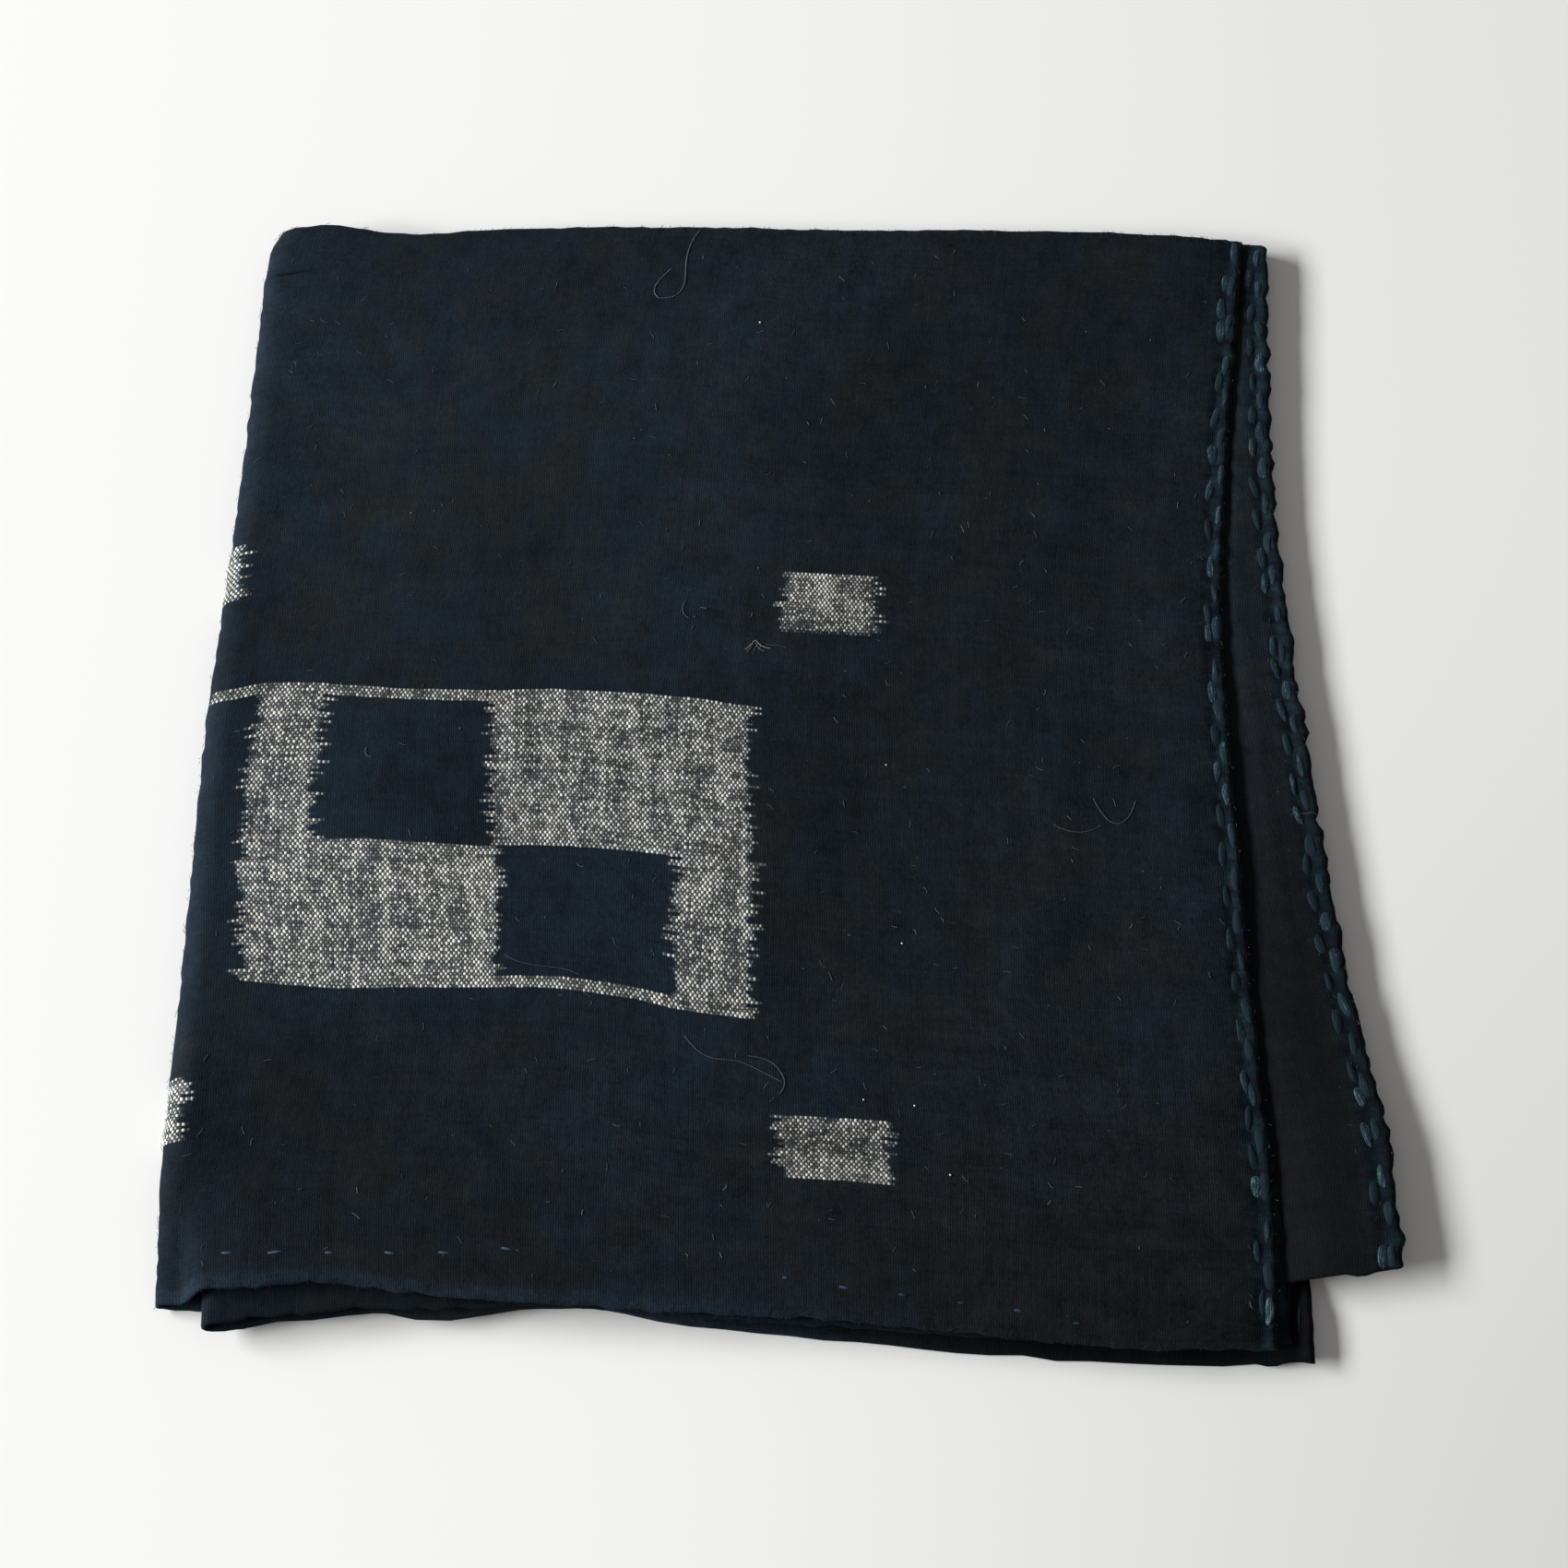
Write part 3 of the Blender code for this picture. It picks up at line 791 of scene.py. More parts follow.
class Finish:
    """The node tree of one finish."""

    def __init__(self, name):
        self.material = bpy.data.materials.new(name)
        self.material.use_nodes = True
        self.tree = self.material.node_tree
        self.tree.nodes.clear()

    def node(self, kind, settings, sockets):
        """Adds a node: its settings first, then its sockets' values or links."""
        made = self.tree.nodes.new(kind)
        for key, value in settings.items():
            setattr(made, key, value)
        for key, value in sockets.items():
            socket = made.inputs[key]
            if isinstance(value, Value):
                self.tree.links.new(value.socket, socket)
            elif isinstance(value, bpy.types.NodeSocket):
                self.tree.links.new(value, socket)
            elif socket.type == "RGBA":
                socket.default_value = (*value, 1.0)
            else:
                socket.default_value = value
        return made

    def maths(self, operation, *values):
        made = self.node("ShaderNodeMath", {"operation": operation}, dict(enumerate(values)))
        return Value(self, made.outputs["Value"])

    def larger(self, first, second):
        return self.maths("MAXIMUM", first, second)

    def smaller(self, first, second):
        return self.maths("MINIMUM", first, second)

    def map(self, name):
        """Where a point lies in one of the piece's UV maps."""
        return self.node("ShaderNodeUVMap", {"uv_map": name}, {}).outputs["UV"]

    def here(self):
        """Where a point lies in the piece's own space."""
        return self.node("ShaderNodeTexCoord", {}, {}).outputs["Object"]

    def tone(self):
        """The number that write_tone gave each vertex."""
        return Value(self, self.node("ShaderNodeAttribute", {"attribute_name": "tone"}, {}).outputs["Fac"])

    def split(self, vector):
        """The first two parts of a vector."""
        parts = self.node("ShaderNodeSeparateXYZ", {}, {"Vector": vector}).outputs
        return Value(self, parts["X"]), Value(self, parts["Y"])

    def vector(self, x, y, z=0.0):
        return self.node("ShaderNodeCombineXYZ", {}, {"X": x, "Y": y, "Z": z}).outputs["Vector"]

    def cloud(self, place, scale, detail=2.0, rough=0.5):
        """Soft noise from 0 to 1: scale is in features to a metre."""
        sockets = {"Vector": place, "Scale": scale, "Detail": detail, "Roughness": rough}
        return Value(self, self.node("ShaderNodeTexNoise", {}, sockets).outputs["Fac"])

    def chance(self, x, y=0.0, z=0.0):
        """A number from 0 to 1 drawn anew for each whole x, y and z."""
        made = self.node("ShaderNodeTexWhiteNoise", {}, {"Vector": self.vector(x, y, z)})
        return Value(self, made.outputs["Value"])

    def mix(self, share, first, second):
        made = self.node("ShaderNodeMix", {"data_type": "RGBA"}, {0: share, 6: first, 7: second})
        return made.outputs[2]

    def tint(self, colour, amount):
        """A colour made lighter or darker by an amount that varies."""
        scaled = self.node("ShaderNodeVectorMath", {"operation": "SCALE"}, {"Vector": colour, "Scale": amount})
        return scaled.outputs["Vector"]

    def bump(self, height, distance, strength=1.0):
        sockets = {"Height": height, "Distance": distance, "Strength": strength}
        return self.node("ShaderNodeBump", {}, sockets).outputs["Normal"]

    def surface(self, **sockets):
        """Ends the finish in one Principled surface. Spaces in socket names are written as underscores."""
        named = {key.replace("_", " "): value for key, value in sockets.items()}
        shader = self.node("ShaderNodeBsdfPrincipled", {}, named)
        self.node("ShaderNodeOutputMaterial", {}, {"Surface": shader.outputs["BSDF"]})
        return self.material


def chart_of_white(finish, across, along, pick):
    """1 where the weft was kept out of the dye: the four squares, their lines and the spots at the corners.

    Across and along are in millimetres from the squares' middle. Each pick's white begins and ends a little
    off its place, as it does where the threads are dyed before they are woven.
    """
    shared = (finish.cloud(finish.vector(pick * 0.09, 0.0, 4.0), 1.0, 1.0) - 0.5) * 6.0

    def edge(at, number):
        """How far across lies beyond one edge, once this pick's stray is counted."""
        own = (finish.chance(pick, number) ** 2 - 0.35) * 3.6
        drift = (finish.cloud(finish.vector(pick * 0.30, number, 9.0), 1.0, 0.0) - 0.5) * 3.0
        return across - at - shared * (0.8 if number % 2 else 0.4) + (own + drift) * (1 if number % 2 else -1)

    def between(low, high, number):
        """White from one edge to the next, where the dye has seeped in over a millimetre or two."""
        return edge(low, number).rise(-1.0, 1.3) * edge(high, number + 1).rise(1.0, -1.3)

    upper = along.rise(-0.01, 0.01)
    line = along.size()
    far = SQUARE_PICKS["lower"] + upper * (SQUARE_PICKS["upper"] - SQUARE_PICKS["lower"])
    on_line = finish.smaller(line - far, far - line).rise(-LINE_PICKS - 0.05, -LINE_PICKS + 0.05)
    in_squares = (line - far).rise(LINE_PICKS + 0.05, LINE_PICKS - 0.05)
    lines = on_line * between(LOWER_ENDS[0] - 1.0 - upper * 9.0, LOWER_ENDS[3] + 1.5, 1)
    left, left_in, middle, right = UPPER_ENDS
    upper_white = finish.larger(between(left, left_in, 3), between(middle, right, 5))
    left, middle, right_in, right = LOWER_ENDS
    lower_white = finish.larger(between(left, middle, 7), between(right_in, right, 9))
    white = finish.larger(lines, in_squares * (upper * upper_white + (1 - upper) * lower_white))
    for number, (at_across, at_along, half_across, half_along) in enumerate(SPOTS):
        rows = (along - at_along).size().rise(half_along + 0.05, half_along - 0.05)
        spot = rows * between(at_across - half_across, at_across + half_across, 11 + number * 2)
        white = finish.larger(white, spot)
    return white


def areas_of(across, along):
    """Each of the areas as a value that is 0 outside it and 1 well inside."""
    places = {"across": across, "along": along}
    found = SimpleNamespace()
    for name, limits in AREAS.items():
        shares = []
        for axis, middle, start, full in limits:
            place = places[axis] if middle is None else (places[axis] - middle * MM).size()
            shares.append(place.rise(start * MM, full * MM))
        setattr(found, name, reduce(mul, shares))
    return found


def threads_at(finish, place, position, per_cm, wobble):
    """The number of the thread at a point, and how far from its middle the point is, from -1 to 1."""
    count = position * (per_cm * 100)
    for scale, sway in wobble:
        count = count + finish.cloud(place, scale) * sway
    number = count.floor()
    return number, (count - number) * 2 - 1


def woven_finish(weave):
    """Plain weave of indigo warp and weft, with the weft's undyed lengths as white dots.

    The plain numbers in the sums weigh how much each kind of unevenness shows.
    """
    finish = Finish("indigo_cotton_woven")
    place = finish.map("weave")
    across, along = finish.split(place)
    area = areas_of(across, along)

    # Threads
    end_number, on_end = threads_at(finish, place, across, weave.ends_per_cm, END_WOBBLE)
    pick_number, on_pick = threads_at(finish, place, along, weave.picks_per_cm, PICK_WOBBLE)
    weft_over = finish.maths("PINGPONG", end_number + pick_number, 1.0)
    warp_round, weft_round = 1 - on_end * on_end, 1 - on_pick * on_pick
    thick_pick = finish.chance(pick_number, 0.0, 5.0) - 0.5
    thick_end = finish.chance(end_number, 0.0, 6.0) - 0.5
    thread = finish.chance(end_number, pick_number) - 0.5

    # Which picks are white here, and how much of the white shows between the warp
    from_start = (pick_number + 0.5) / (weave.picks_per_cm * 0.1) - (CHART_MIDDLE[1] - CHART_REPEAT / 2)
    chart_along = from_start - (from_start / CHART_REPEAT).floor() * CHART_REPEAT - CHART_REPEAT / 2
    white = chart_of_white(finish, across / MM - CHART_MIDDLE[0], chart_along, pick_number)
    patches = finish.cloud(finish.vector(across, along * 0.32), 230.0, 2.0, 0.6) - 0.5
    slubs = finish.cloud(finish.vector(across * 0.30, along), 520.0, 2.0, 0.6) - 0.5
    fullness = patches * 0.9 + slubs * 0.9 + thread * 0.75 + thick_pick * 0.45 - thick_end * 0.40
    dot = (warp_round * weft_round) ** 0.55 + fullness * 0.75
    dot = weft_over * dot.rise(0.30, 0.95)
    shown = 0.07 + 0.93 * dot + finish.larger(patches, 0.0) * 0.12

    # Colour of the dyed threads
    broad = finish.cloud(place, 11.0, 2.0)
    mottle = finish.cloud(place, 620.0, 2.0, 0.7)
    # pucker also sets the sewn bands' lightness below, as painted light and shade of the puckers, besides their
    # relief and hue.
    pucker = finish.cloud(finish.vector(across * 0.45, along), 300.0, 2.0, 0.6) - 0.5
    worn = area.fold * 0.14 + area.selvage * 0.12 + area.hem * 0.55 + (broad - 0.45) * 0.9 + area.squares * 0.16
    worn = finish.smaller(finish.larger(worn * (0.45 + mottle * 1.1), 0.0), 1.0)
    hue = finish.cloud(place, 55.0, 3.0, 0.65) + area.squares * 0.16 + area.fold * 0.10
    # The splayed strip and the top leaf's lower right corner are less blue: part of their painted shade.
    hue = hue - area.splayed * 0.40 - area.corner * 0.22
    dyed = finish.mix(hue.rise(0.38, 0.62), DYE_BLACK, DYE_BLUE)
    dyed = finish.mix(0.7, tuple(weave.indigo), dyed)
    dyed = finish.mix(worn, dyed, tuple(weave.worn))
    dyed = finish.mix(area.sewn * 0.8, dyed, finish.mix(pucker.rise(-0.10, 0.10), SEWN_DARK, SEWN_BLUE))
    # On the base layer, which lies in the upper layers' shade, the colour is mixed towards a flat dark grey:
    # painted shade.
    dyed = finish.mix(area.base * 0.8, dyed, BASE_SHADE_COLOUR)

    # How light or dark they are
    streaks = finish.cloud(finish.vector(across, along * 0.12), 320.0, 2.0, 0.6)
    grain = finish.cloud(place, 1700.0, 1.0, 0.6)
    pile = finish.cloud(place, 210.0, 3.0, 0.65) - 0.5
    clouds = finish.cloud(place, 95.0, 3.0, 0.6) - 0.5
    light = 0.05 + mottle * 0.75 + streaks * 0.35 + grain * 0.78 + pile * 1.1 + clouds * 1.15
    light = light + (thick_pick + thick_end) * 0.14 + thread * 0.22
    # Painted light and shade: the top leaf is lighter at its upper left, lower left and middle, and darker at its
    # lower right corner, as the light falls across it.
    light = light + (area.lit + area.low_left - area.corner) * 0.24 + area.centre * 0.22
    # The sewn bands get the painted light and shade of their puckers; the base layer and the splayed strip, under
    # the upper layers' edges, get painted shade.
    light = light * (1 + area.sewn * (pucker * 2.4 - 0.12)) * (1 - area.base * 0.62) * (1 - area.splayed * 0.46)
    # Painted shade: a thin dark line along the notch crease by the left fold, a darker band along the left fold
    # against the light on its flank, and darker inner hems below the top leaf's hem.
    light = light * (1 - area.notch * 0.55) * (1 - area.turned * 0.10) * (1 - area.below * 0.35)
    # Darker where neither thread's crown lies: painted shade in the gaps between the threads.
    gap_shade = 0.80 + 0.20 * finish.larger(warp_round, weft_round)
    dyed = finish.tint(dyed, finish.larger(light, 0.12) * gap_shade)

    # Undyed weft, blue where the dye seeped in
    undyed = finish.mix(white * (1 - white) * 4 * 0.6, tuple(weave.white), SEEPED_DYE)
    bright = 0.775 + patches * 1.12 + slubs * 0.46 + thread * 0.48
    # The whites are lighter at the lower left of the squares and darker further right.
    bright = bright - area.spots * 0.13 + area.washed * 0.10 - area.faint * 0.08
    undyed = finish.tint(undyed, bright)
    share = finish.smaller(white.rise(0.10, 0.80) * shown, 1.0)

    # Relief of the threads, the pile and the puckers
    high = weft_over * (weft_round.root() * (0.4 + 0.6 * warp_round))
    high = high + (1 - weft_over) * (warp_round.root() * (0.4 + 0.6 * weft_round))
    relief = high * (0.55 + 0.30 * thread) + mottle * 0.7 + pile * 1.2 + area.sewn * pucker * 4.0
    return finish.surface(
        Base_Color=finish.mix(share, dyed, undyed),
        Roughness=0.82 + 0.12 * mottle,
        Normal=finish.bump(relief, 0.00022, 0.60),
        Specular_IOR_Level=0.06,
        Sheen_Weight=0.012,
        Sheen_Roughness=0.5,
        Sheen_Tint=(0.70, 0.80, 1.0),
    )


def thread_finish(name, colour, highlight, deep):
    """Twisted cotton: two plies wound round each other, with painted shade between them and painted highlights
    along the strands, each length fading its own way.
    """
    finish = Finish(name)
    around, length_along = finish.split(finish.map("UVMap"))
    tone = finish.tone()
    plies = ((around * 2 + length_along * 1.6) * math.tau).wave() * 0.5 + 0.5
    hairs = finish.cloud(finish.here(), 2600.0, 2.0, 0.7)
    strands = finish.cloud(finish.vector(around * 18.0, length_along * 2.6, tone * 40.0), 1.0, 3.0, 0.65)
    body = finish.mix(tone.rise(0.20, 0.70), deep, colour)
    # The plies' wave darkens the colour between them: painted shade.
    body = finish.tint(body, 0.20 + plies * 0.15 + hairs * 0.55 + strands * 1.10)
    # Where the strands peak, the colour mixes towards the highlight tint: painted highlights.
    body = finish.mix(((strands - 0.5) * 4 + (hairs - 0.5) * 1.5 + tone).rise(0.86, 1.42), body, highlight)
    relief = plies.root() * 0.3 + hairs * 0.7 + strands * 1.2
    return finish.surface(
        Base_Color=body,
        Roughness=0.85,
        Normal=finish.bump(relief, 0.00018, 0.7),
        Specular_IOR_Level=0.10,
        Sheen_Weight=0.02,
        Sheen_Roughness=0.4,
    )


def lint_finish():
    """Loose fibres: tone runs from dark blue through grey to pale cream."""
    finish = Finish("lint_fibres")
    tone = finish.tone()
    patchy = finish.cloud(finish.here(), 900.0, 2.0)
    body = finish.mix(tone.rise(0.0, 0.5), LINT_DARK, LINT_GREY)
    body = finish.mix(tone.rise(0.5, 1.0), body, LINT_CREAM)
    return finish.surface(
        Base_Color=finish.tint(body, 0.6 + patchy * 0.8),
        Roughness=0.85,
        Specular_IOR_Level=0.15,
    )


# Pieces


def lines_on_cloth(half, turn, turn_steps, steps, fine):
    """Lines of the mesh from the middle of the flat cloth to one edge: close together in the turn and the hem."""
    edge = turn / 2
    inner = edge + (half - fine[-1] * MM - edge) * np.linspace(0, 1, steps + 1)[1:]
    outer = [half - distance * MM for distance in reversed(fine[:-1])]
    turning = [edge * step / turn_steps for step in range(1, turn_steps + 1)]
    return turning + list(inner) + outer


def weave_place(u, v):
    """Where a point of the flat cloth lies in the weave, whose picks bow and whose ends lean a little."""
    places = [row[0] * MM / CLOTH_WIDTH + 0.5 for row in BOW_ROWS]
    bows = [smooth(places, column(BOW_ROWS, BOW_COLUMNS, name), u / CLOTH_WIDTH + 0.5) for name in BOW_COLUMNS[1:]]
    bow = smooth((0.0, BOW_MIDDLE, 1.0), bows, (v - BOW_LOW) / BOW_SPAN) * MM
    fade = ease(HALF_LENGTH - np.abs(v), 0.012, 0.045)
    lean = 3.0 * MM * ease(-v, 0.150, 0.215) * ease(0.145 - np.abs(u - 0.005), 0.0, 0.145)
    lean = lean + 0.7 * MM * swell(u, v, 0.060, 31)
    dip = 0.15 * MM * swell(u, v, 0.050, 32)
    return u - lean * fade, v - bow * fade + dip * fade


class FUROSHIKI_OT_cloth(bpy.types.Operator):
    """Cuts the cloth flat, folds it and gives it its thickness and weave"""

    bl_idname = "furoshiki.cloth"
    bl_label = "Fold the Cloth"

    def execute(self, context):
        cloth = self.cut(context.scene.furoshiki_cloth)
        u, v, _ = points_of(cloth).T
        self.write_weave(cloth, u, v)
        thick = thickness(u, v)
        full = float(thick.max())
        group = cloth.vertex_groups.new(name="thickness")
        for index, share in enumerate((thick / full).tolist()):
            group.add([index], share, "REPLACE")
        points = folded(u, v)
        points[2] = np.maximum(points[2], thick / 2)
        place_points(cloth, points.T)
        sides = {"thickness": full, "offset": 0.0, "use_even_offset": True, "vertex_group": "thickness"}
        apply_modifier(cloth, "cloth thickness", "SOLIDIFY", **sides)
        cloth.vertex_groups.clear()
        shade_smooth(cloth)
        give(cloth, woven_finish(context.scene.furoshiki_weave))
        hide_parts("cloth")
        return {"FINISHED"}

    def cut(self, settings):
        """The flat cloth: a grid with its lines close together in the turns and at the edges."""
        turn = math.pi * LEFT_TURN_REACH
        shown = lines_on_cloth(HALF_WIDTH, turn, LEFT_TURN_STEPS, settings.columns, SELVAGE_LINES)
        under = lines_on_cloth(HALF_WIDTH, turn, LEFT_TURN_STEPS, settings.columns // 3, SELVAGE_LINES)
        columns = np.array([-place for place in reversed(under)] + [0.0] + shown)
        outer = lines_on_cloth(HALF_LENGTH, TOP_TURN_CLOTH, TOP_TURN_STEPS, settings.rows, HEM_LINES)
        inner_rows = int(settings.rows * INNER_ROWS_SHARE)
        inner = lines_on_cloth(HALF_LENGTH, TOP_TURN_CLOTH, TOP_TURN_STEPS, inner_rows, HEM_LINES)
        rows = np.array([-place for place in reversed(outer)] + [0.0] + inner)
        deselect()
        bpy.ops.mesh.primitive_grid_add(x_subdivisions=len(columns) - 1, y_subdivisions=len(rows) - 1, size=2)
        cloth = start_piece("woven_cloth")
        flat = points_of(cloth)
        column_of = np.rint((flat[:, 0] + 1) / 2 * (len(columns) - 1)).astype(int)
        row_of = np.rint((flat[:, 1] + 1) / 2 * (len(rows) - 1)).astype(int)
        place_points(cloth, np.stack((columns[column_of], rows[row_of], np.zeros(len(flat))), 1))
        self.refine_selvages(cloth)
        return cloth

    def refine_selvages(self, cloth):
        """Halves the mesh in the bands that the thick thread puckers."""
        centres = np.empty(len(cloth.data.polygons) * 3, np.float32)
        cloth.data.polygons.foreach_get("center", centres)
        from_selvage = HALF_WIDTH - np.abs(centres.reshape(-1, 3)[:, 0])
        select_faces(cloth, from_selvage < PUCKERED)
        bpy.ops.mesh.subdivide(number_cuts=1)
        bpy.ops.object.mode_set(mode="OBJECT")

    def write_weave(self, cloth, u, v):
        """The weave's own coordinates, in metres, as the cloth's UV map."""
        corners = np.empty(len(cloth.data.loops), np.int32)
        cloth.data.loops.foreach_get("vertex_index", corners)
        place = np.stack(weave_place(u, v), 1)[corners]
        layer = cloth.data.uv_layers.active
        layer.name = "weave"
        layer.uv.foreach_set("vector", place.astype(np.float32).ravel())


def stitch_row(count, pitch, length, width, height, sides=8, rings=7):
    """One row of a running stitch on the flat, along y from y = 0: a stitch modelled once and repeated."""
    deselect()
    bpy.ops.mesh.primitive_uv_sphere_add(segments=sides, ring_count=rings, radius=1.0)
    row = start_piece("stitches")
    row.rotation_euler = (math.pi / 2, 0.0, 0.0)
    apply_place(row)
    row.scale = (width / 2, length / 2, height / 2)
    apply_place(row)
    steps = {"use_relative_offset": False, "use_constant_offset": True}
    steps["constant_offset_displace"] = (0.0, pitch, 0.0)
    apply_modifier(row, "row", "ARRAY", count=count, **steps)
    return row


def join(pieces, tones, name, finish):
    """Joins pieces into one, with the tone of each vertex and the finish that reads it."""
    deselect()
    for piece in pieces:
        piece.select_set(True)
    bpy.context.view_layer.objects.active = pieces[0]
    bpy.ops.object.join()
    piece = start_piece(name)
    write_tone(piece, np.concatenate(tones))
    shade_smooth(piece)
    give(piece, finish)


class FUROSHIKI_OT_selvage_stitches(bpy.types.Operator):
    """Sews two staggered rows of thick blue running stitches along each selvage, seen on both faces"""

    bl_idname = "furoshiki.selvage_stitches"
    bl_label = "Sew the Selvages"

    def execute(self, context):
        settings = context.scene.furoshiki_stitches
        rows, tones = [], []
        seed = 40
        for leaf, sign in (("top leaf", 1), ("under leaf", -1)):
            for number, distance in enumerate(SELVAGE_ROWS[leaf]):
                for face in (1, -1):
                    seed += 1
                    start = -HALF_LENGTH + FIRST_STITCH + settings.pitch / 2 * (number + (face < 0))
                    at = sign * (HALF_WIDTH - distance * MM)
                    row, tone = self.sew(settings, at, start, face, seed)
                    rows.append(row)
                    tones.append(tone)
        finish = thread_finish("blue_thread_twisted", tuple(settings.blue), BLUE_HIGHLIGHT, BLUE_DEEP)
        join(rows, tones, "selvage_stitches", finish)
        return {"FINISHED"}

    def sew(self, settings, at, start, face, seed):
        """One row on one face, each stitch a little different, folded to its place."""
        draw = np.random.default_rng(seed)
        count = int((HALF_LENGTH - LAST_STITCH - start) / settings.pitch) + 1
        row = stitch_row(count, settings.pitch, settings.length, settings.width, STITCH_HEIGHT)
        across, along, up = np.moveaxis(points_of(row).reshape(count, -1, 3), 2, 0)
        stitch = np.arange(count)[:, None]

        def within(low, high):
            return draw.uniform(low, high, (count, 1))

        def about(middle, spread):
            return draw.normal(middle, spread, (count, 1))

        grow = within(0.80, 1.16)
        broad = within(0.74, 1.08) * within(0.72, 1.28)
        middle = start + stitch * settings.pitch + about(0.0, 0.55) * MM
        tone = about(0.46, 0.13) - 0.20 * ease(np.abs(middle), 0.12, 0.24)
        tone = np.clip(tone, 0.05, 0.75)
        # On the base, which lies in shade, the stitches get the darkest tone, which is painted shade, and are
        # narrowed.
        if at < 0:
            in_painted_shade = middle < PAINTED_SHADE_BELOW
            tone[in_painted_shade], broad[in_painted_shade] = 0.0, 0.25
        lean = about(0.0, 0.09)
        bend = about(0.0, 0.10) * MM
        along = (along - stitch * settings.pitch) * grow
        share = along / (settings.length / 2)
        taper = 1 + within(-0.35, 0.35) * share
        blunt = (1 - 0.97 * np.minimum(share**2 / grow**2, 1.0)) ** -0.16
        across = across * broad * taper * blunt + lean * along + bend * share**2 + about(0.0, 0.25) * MM
        twist = 1 + 0.10 * np.sin(share * 7.0 + np.sign(across) * 1.2 + stitch)
        up = (up * twist * blunt + STITCH_ARCH * (1 - share**2)) - STITCH_SINK
        if face > 0:
            self.fade(at, middle, tone)
        along = np.clip(along + middle, -HALF_LENGTH + 0.2 * MM, HALF_LENGTH - 0.2 * MM)
        u, v, lift = (at + across).ravel(), along.ravel(), up.ravel()
        place_on_cloth(row, u, v, face * (thickness(u, v) / 2 + lift))
        if face < 0:
            face_outwards(row)
        return row, np.broadcast_to(tone, across.shape).ravel()

    def fade(self, at, middle, tone):
        """Moves the nearest stitch of a row to each pale one's place, and gives it its tone."""
        rows = SELVAGE_ROWS["top leaf" if at > 0 else "under leaf"]
        for place, far, pale in PALE_STITCHES:
            own_row = min(rows, key=lambda row: abs(HALF_WIDTH / MM - abs(place) - row))
            if abs(at / MM - math.copysign(HALF_WIDTH / MM - own_row, place)) < 0.1:
                nearest = int(np.argmin(np.abs(middle - far * MM)))
                middle[nearest], tone[nearest] = far * MM, pale


class FUROSHIKI_OT_hem_stitches(bpy.types.Operator):
    """Sews one row of small pale stitches along each hem, seen on both faces"""

    bl_idname = "furoshiki.hem_stitches"
    bl_label = "Sew the Hems"

    def execute(self, context):
        settings = context.scene.furoshiki_stitches
        draw = np.random.default_rng(80)
        row = HALF_LENGTH / MM - HEM_ROW
        places = np.arange(-HALF_WIDTH + 8.0 * MM, HALF_WIDTH - 6.0 * MM, settings.hem_pitch) / MM
        behind = [(u, row, draw.uniform(1.8, 3.2), draw.uniform(0.3, 0.8)) for u in places]
        near = [(u, -v, size, tone) for u, v, size, tone in behind]
        far = [stitch for stitch in behind if stitch[0] > -200]
        sides = ((HEM_STITCHES, 1), (near, -1), (OTHER_HEM_STITCHES, -1), (far, 1))
        rows, tones = zip(*(self.sew(stitches, face, draw) for stitches, face in sides))
        finish = thread_finish("pale_thread_twisted", tuple(settings.pale), PALE_HIGHLIGHT, PALE_DEEP)
        join(rows, tones, "hem_stitches", finish)
        return {"FINISHED"}

    def sew(self, stitches, face, draw):
        """Stitches on one face, each at its place on the flat cloth, then folded."""
        u, v, size, tone = (part[:, None] for part in np.array(stitches).T)
        pitch, length = 10.0 * MM, 1.0 * MM
        row = stitch_row(len(stitches), pitch, length, 0.70 * MM, 0.36 * MM, 6, 6)
        flat = points_of(row).reshape(len(stitches), -1, 3)
        share = (flat[..., 1] - np.arange(len(stitches))[:, None] * pitch) / (length / 2)
        along = share * size / 2 * MM
        across = flat[..., 0] * draw.uniform(0.8, 1.15, size.shape) + draw.normal(0.0, 0.06, size.shape) * along
        lift = flat[..., 2] + 0.14 * MM * (1 - share**2) - 0.08 * MM
        u, v = (u * MM + along).ravel(), (v * MM + across).ravel()
        place_on_cloth(row, u, v, face * (thickness(u, v) / 2 + lift.ravel()))
        face_outwards(row)
        return row, np.broadcast_to(tone, across.shape).ravel()


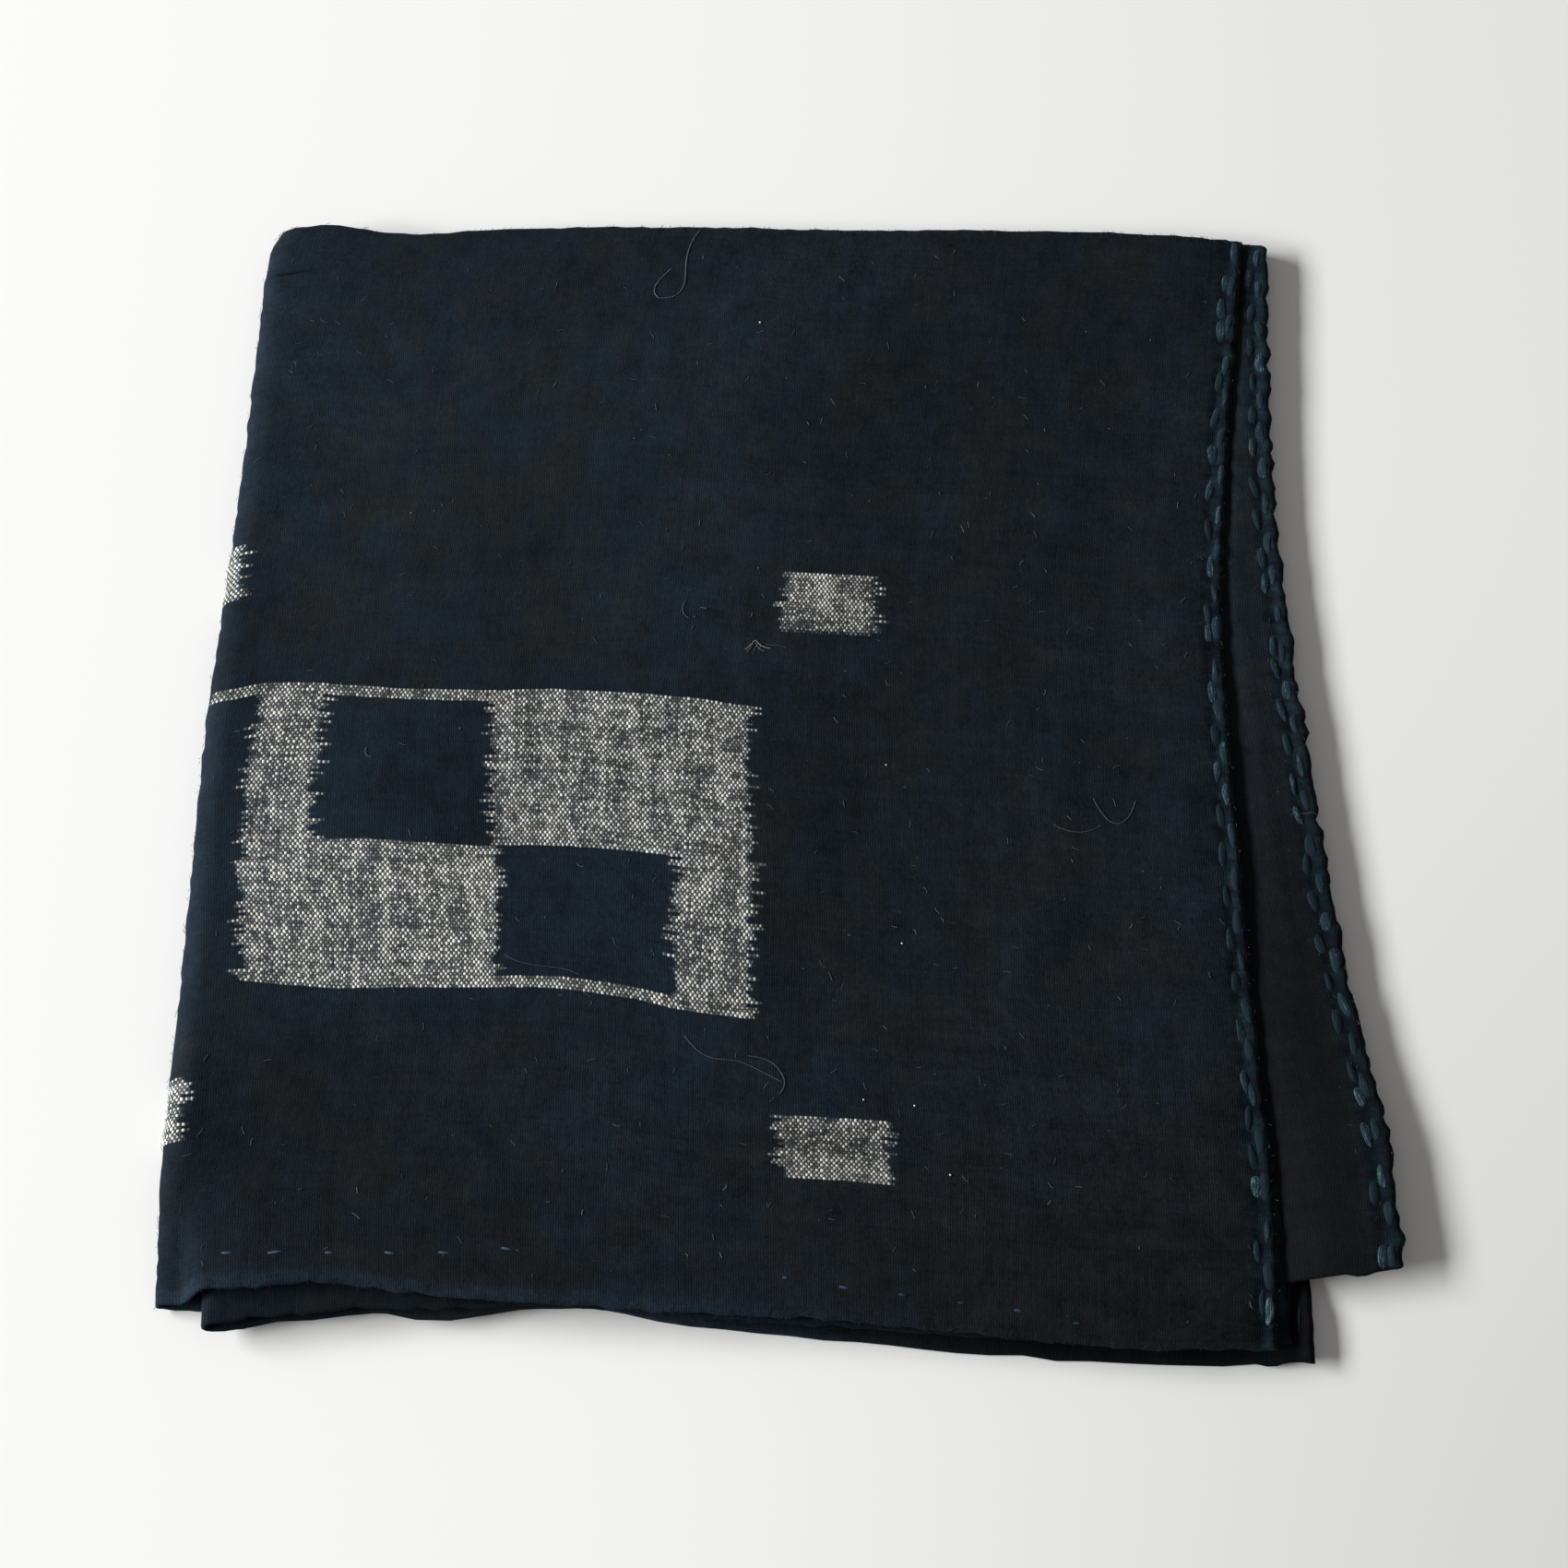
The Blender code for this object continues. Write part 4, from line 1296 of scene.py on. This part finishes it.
class FUROSHIKI_OT_loose_fibres(bpy.types.Operator):
    """Lays the stray threads, hairs and flecks on the cloth, and frays the selvages"""

    bl_idname = "furoshiki.loose_fibres"
    bl_label = "Lay the Loose Fibres"

    def execute(self, context):
        classes = self.lines_by_tone()
        pieces = [self.hairs(lines) for lines in classes.values()]
        tones = list(classes)
        for u, v, size, tone in FLECKS:
            pieces.append(self.fleck(u, v, size))
            tones.append(tone)
        tones = [np.full(len(piece.data.vertices), tone) for piece, tone in zip(pieces, tones)]
        join(pieces, tones, "loose_fibres", lint_finish())
        return {"FINISHED"}

    def lines_by_tone(self):
        """The strays and the short hairs, each with its thickness and its points, in classes of one tone."""
        draw = np.random.default_rng(7)
        within, short_hair = draw.uniform, self.short_hair
        classes = {}

        def add(tone, thick, line):
            classes.setdefault(tone, []).append((thick, line))

        for thick, tone, points in STRAYS:
            add(tone, thick, [(u, v, 0.12) for u, v in points])
        for _ in range(TOP_HAIRS):
            tone = round(0.30 + 0.1 * int(draw.gamma(1.6, 1.1)), 2)
            line = short_hair(draw, within(4, 246), within(-281, -3), within(0.5, 2.2), 0.05)
            add(min(tone, 0.6), within(0.06, 0.11), line)
        for _ in range(STRIP_HAIRS):
            line = short_hair(draw, within(-249, -240), within(5, 281), within(0.4, 1.2), 0.05)
            add(0.25, within(0.045, 0.08), line)
        for _ in range(SELVAGE_HAIRS):
            u = draw.choice((-1, 1)) * (250.0 - abs(draw.normal(0.0, 0.4)))
            line = short_hair(draw, u, within(-281, 281), within(0.4, 1.2), 0.2)
            tone = round(0.05 + 0.1 * int(within(0, 4)), 2)
            add(tone, within(0.05, 0.11), line)
        for _ in range(ROUND_HAIRS):
            edge, along = draw.integers(0, 3), within(0, 1)
            u, v = ((within(-3, 4), -281 * along), (246 * along, -1.5), (246 * along, -284.8))[edge]
            line = short_hair(draw, u, v, within(0.5, 1.3), 0.3)
            add(0.05, within(0.06, 0.10), line)
        return classes

    def hairs(self, lines):
        """Fine round threads, each through points on the flat cloth, folded to their places."""
        curve = bpy.data.curves.new("hairs", "CURVE")
        curve.dimensions = "3D"
        curve.bevel_depth = MM / 2
        curve.bevel_resolution = 0
        curve.resolution_u = 4
        curve.use_fill_caps = True
        for thick, points in lines:
            spline = curve.splines.new("NURBS")
            spline.points.add(len(points) - 1)
            for point, (u, v, lift) in zip(spline.points, points):
                point.co = (u * MM, v * MM, (lift + thick / 2) * MM, 1.0)
                point.radius = thick
            spline.order_u = min(4, len(points))
            spline.use_endpoint_u = True
        hairs = bpy.data.objects.new("hairs", curve)
        bpy.context.scene.collection.objects.link(hairs)
        pick(hairs)
        bpy.ops.object.convert(target="MESH")
        hairs = bpy.context.object
        fold_piece(hairs)
        return hairs

    def short_hair(self, draw, u, v, length, lift):
        """Three points of a short hair that curls one way."""
        turn = draw.uniform(0, math.tau)
        curl = draw.uniform(-1.2, 1.2)
        points = []
        for step in range(3):
            heading = turn + curl * step
            points.append((u, v, lift * (0.4 + step * 0.6)))
            u, v = u + math.cos(heading) * length / 2, v + math.sin(heading) * length / 2
        return points

    def fleck(self, u, v, size):
        """A small crumb of lint, flatter than round."""
        deselect()
        bpy.ops.mesh.primitive_ico_sphere_add(subdivisions=2, radius=size * MM / 2, location=(u * MM, v * MM, 0.0))
        piece = start_piece("fleck")
        apply_place(piece)
        points = points_of(piece)
        points[:, 2] = points[:, 2] * 0.6 + size * MM * 0.3 + 0.02 * MM
        points[:, 0] += 0.10 * size * MM * np.sin(points[:, 1] * 9000 + u)
        place_points(piece, points)
        fold_piece(piece)
        return piece


class FUROSHIKI_OT_stage(bpy.types.Operator):
    """Sets the plain pale floor, the soft light and the camera"""

    bl_idname = "furoshiki.stage"
    bl_label = "Set the Stage"

    def execute(self, context):
        settings = context.scene.furoshiki_stage
        self.floor(settings)
        self.light(settings)
        world = bpy.data.worlds.new("studio")
        world.use_nodes = True
        sky = world.node_tree.nodes["Background"]
        sky.inputs["Color"].default_value = SKY_COLOUR
        sky.inputs["Strength"].default_value = settings.sky
        context.scene.world = world
        context.scene.view_settings.view_transform = "Standard"
        self.camera(context, settings)
        return {"FINISHED"}

    def floor(self, settings):
        """A plain floor whose colour darkens a little to the right and towards the front: painted shade for the
        light's fall-off.
        """
        deselect()
        bpy.ops.mesh.primitive_plane_add(size=FLOOR_SIZE, location=(0.0, 0.0, -FLOOR_DROP))
        floor = start_piece("floor")
        finish = Finish("plain_floor")
        x, y = finish.split(finish.here())
        # Painted shade: the floor's colour falls off to the right and towards the front, as the light does.
        fall = x.rise(-0.06, 0.20) * (0.07 + y.rise(0.10, -0.26) * 0.14)
        colour = finish.tint(tuple(settings.floor), 1 - fall)
        floor.data.materials.append(finish.surface(Base_Color=colour, Roughness=0.9, Specular_IOR_Level=0.1))

    def light(self, settings):
        """One large soft light."""
        deselect()
        heading = (-Vector(KEY_PLACE)).to_track_quat("-Z", "Y").to_euler()
        bpy.ops.object.light_add(type="AREA", location=KEY_PLACE, rotation=heading)
        lamp = bpy.context.object
        lamp.name = "key"
        lamp.data.shape = "RECTANGLE"
        lamp.data.size, lamp.data.size_y = KEY_SIZE
        lamp.data.energy = settings.key
        lamp.data.color = KEY_COLOUR

    def camera(self, context, settings):
        deselect()
        place, target = Vector(CAMERA_PLACE), Vector(CAMERA_TARGET)
        heading = (target - place).to_track_quat("-Z", "Y").to_euler()
        bpy.ops.object.camera_add(location=place, rotation=heading)
        camera = bpy.context.object
        camera.data.lens = settings.lens
        camera.data.sensor_width = 36.0
        camera.data.clip_start = 0.01
        context.scene.camera = camera


class FUROSHIKI_PT_panel(bpy.types.Panel):
    """Lists the steps that make the furoshiki, in order"""

    bl_idname = "FUROSHIKI_PT_panel"
    bl_label = "Furoshiki"
    bl_space_type = "VIEW_3D"
    bl_region_type = "UI"
    bl_category = "Furoshiki"

    def draw(self, context):
        for operator in OPERATORS:
            self.layout.operator(operator.bl_idname)
        for name in SETTINGS:
            settings = getattr(context.scene, name)
            box = self.layout.box()
            for field in settings.__annotations__:
                box.prop(settings, field)


OPERATORS = (
    FUROSHIKI_OT_cloth,
    FUROSHIKI_OT_selvage_stitches,
    FUROSHIKI_OT_hem_stitches,
    FUROSHIKI_OT_loose_fibres,
    FUROSHIKI_OT_stage,
)
SETTINGS = {
    "furoshiki_cloth": ClothSettings,
    "furoshiki_weave": WeaveSettings,
    "furoshiki_stitches": StitchSettings,
    "furoshiki_stage": StageSettings,
}


def register():
    for name, group in SETTINGS.items():
        bpy.utils.register_class(group)
        setattr(bpy.types.Scene, name, PointerProperty(type=group))
    for cls in (*OPERATORS, FUROSHIKI_PT_panel):
        bpy.utils.register_class(cls)


def unregister():
    for cls in (FUROSHIKI_PT_panel, *reversed(OPERATORS)):
        bpy.utils.unregister_class(cls)
    for name, group in SETTINGS.items():
        delattr(bpy.types.Scene, name)
        bpy.utils.unregister_class(group)


def main():
    register()
    bpy.ops.furoshiki.cloth()
    bpy.ops.furoshiki.selvage_stitches()
    bpy.ops.furoshiki.hem_stitches()
    bpy.ops.furoshiki.loose_fibres()
    bpy.ops.furoshiki.stage()


if __name__ == "__main__":
    main()
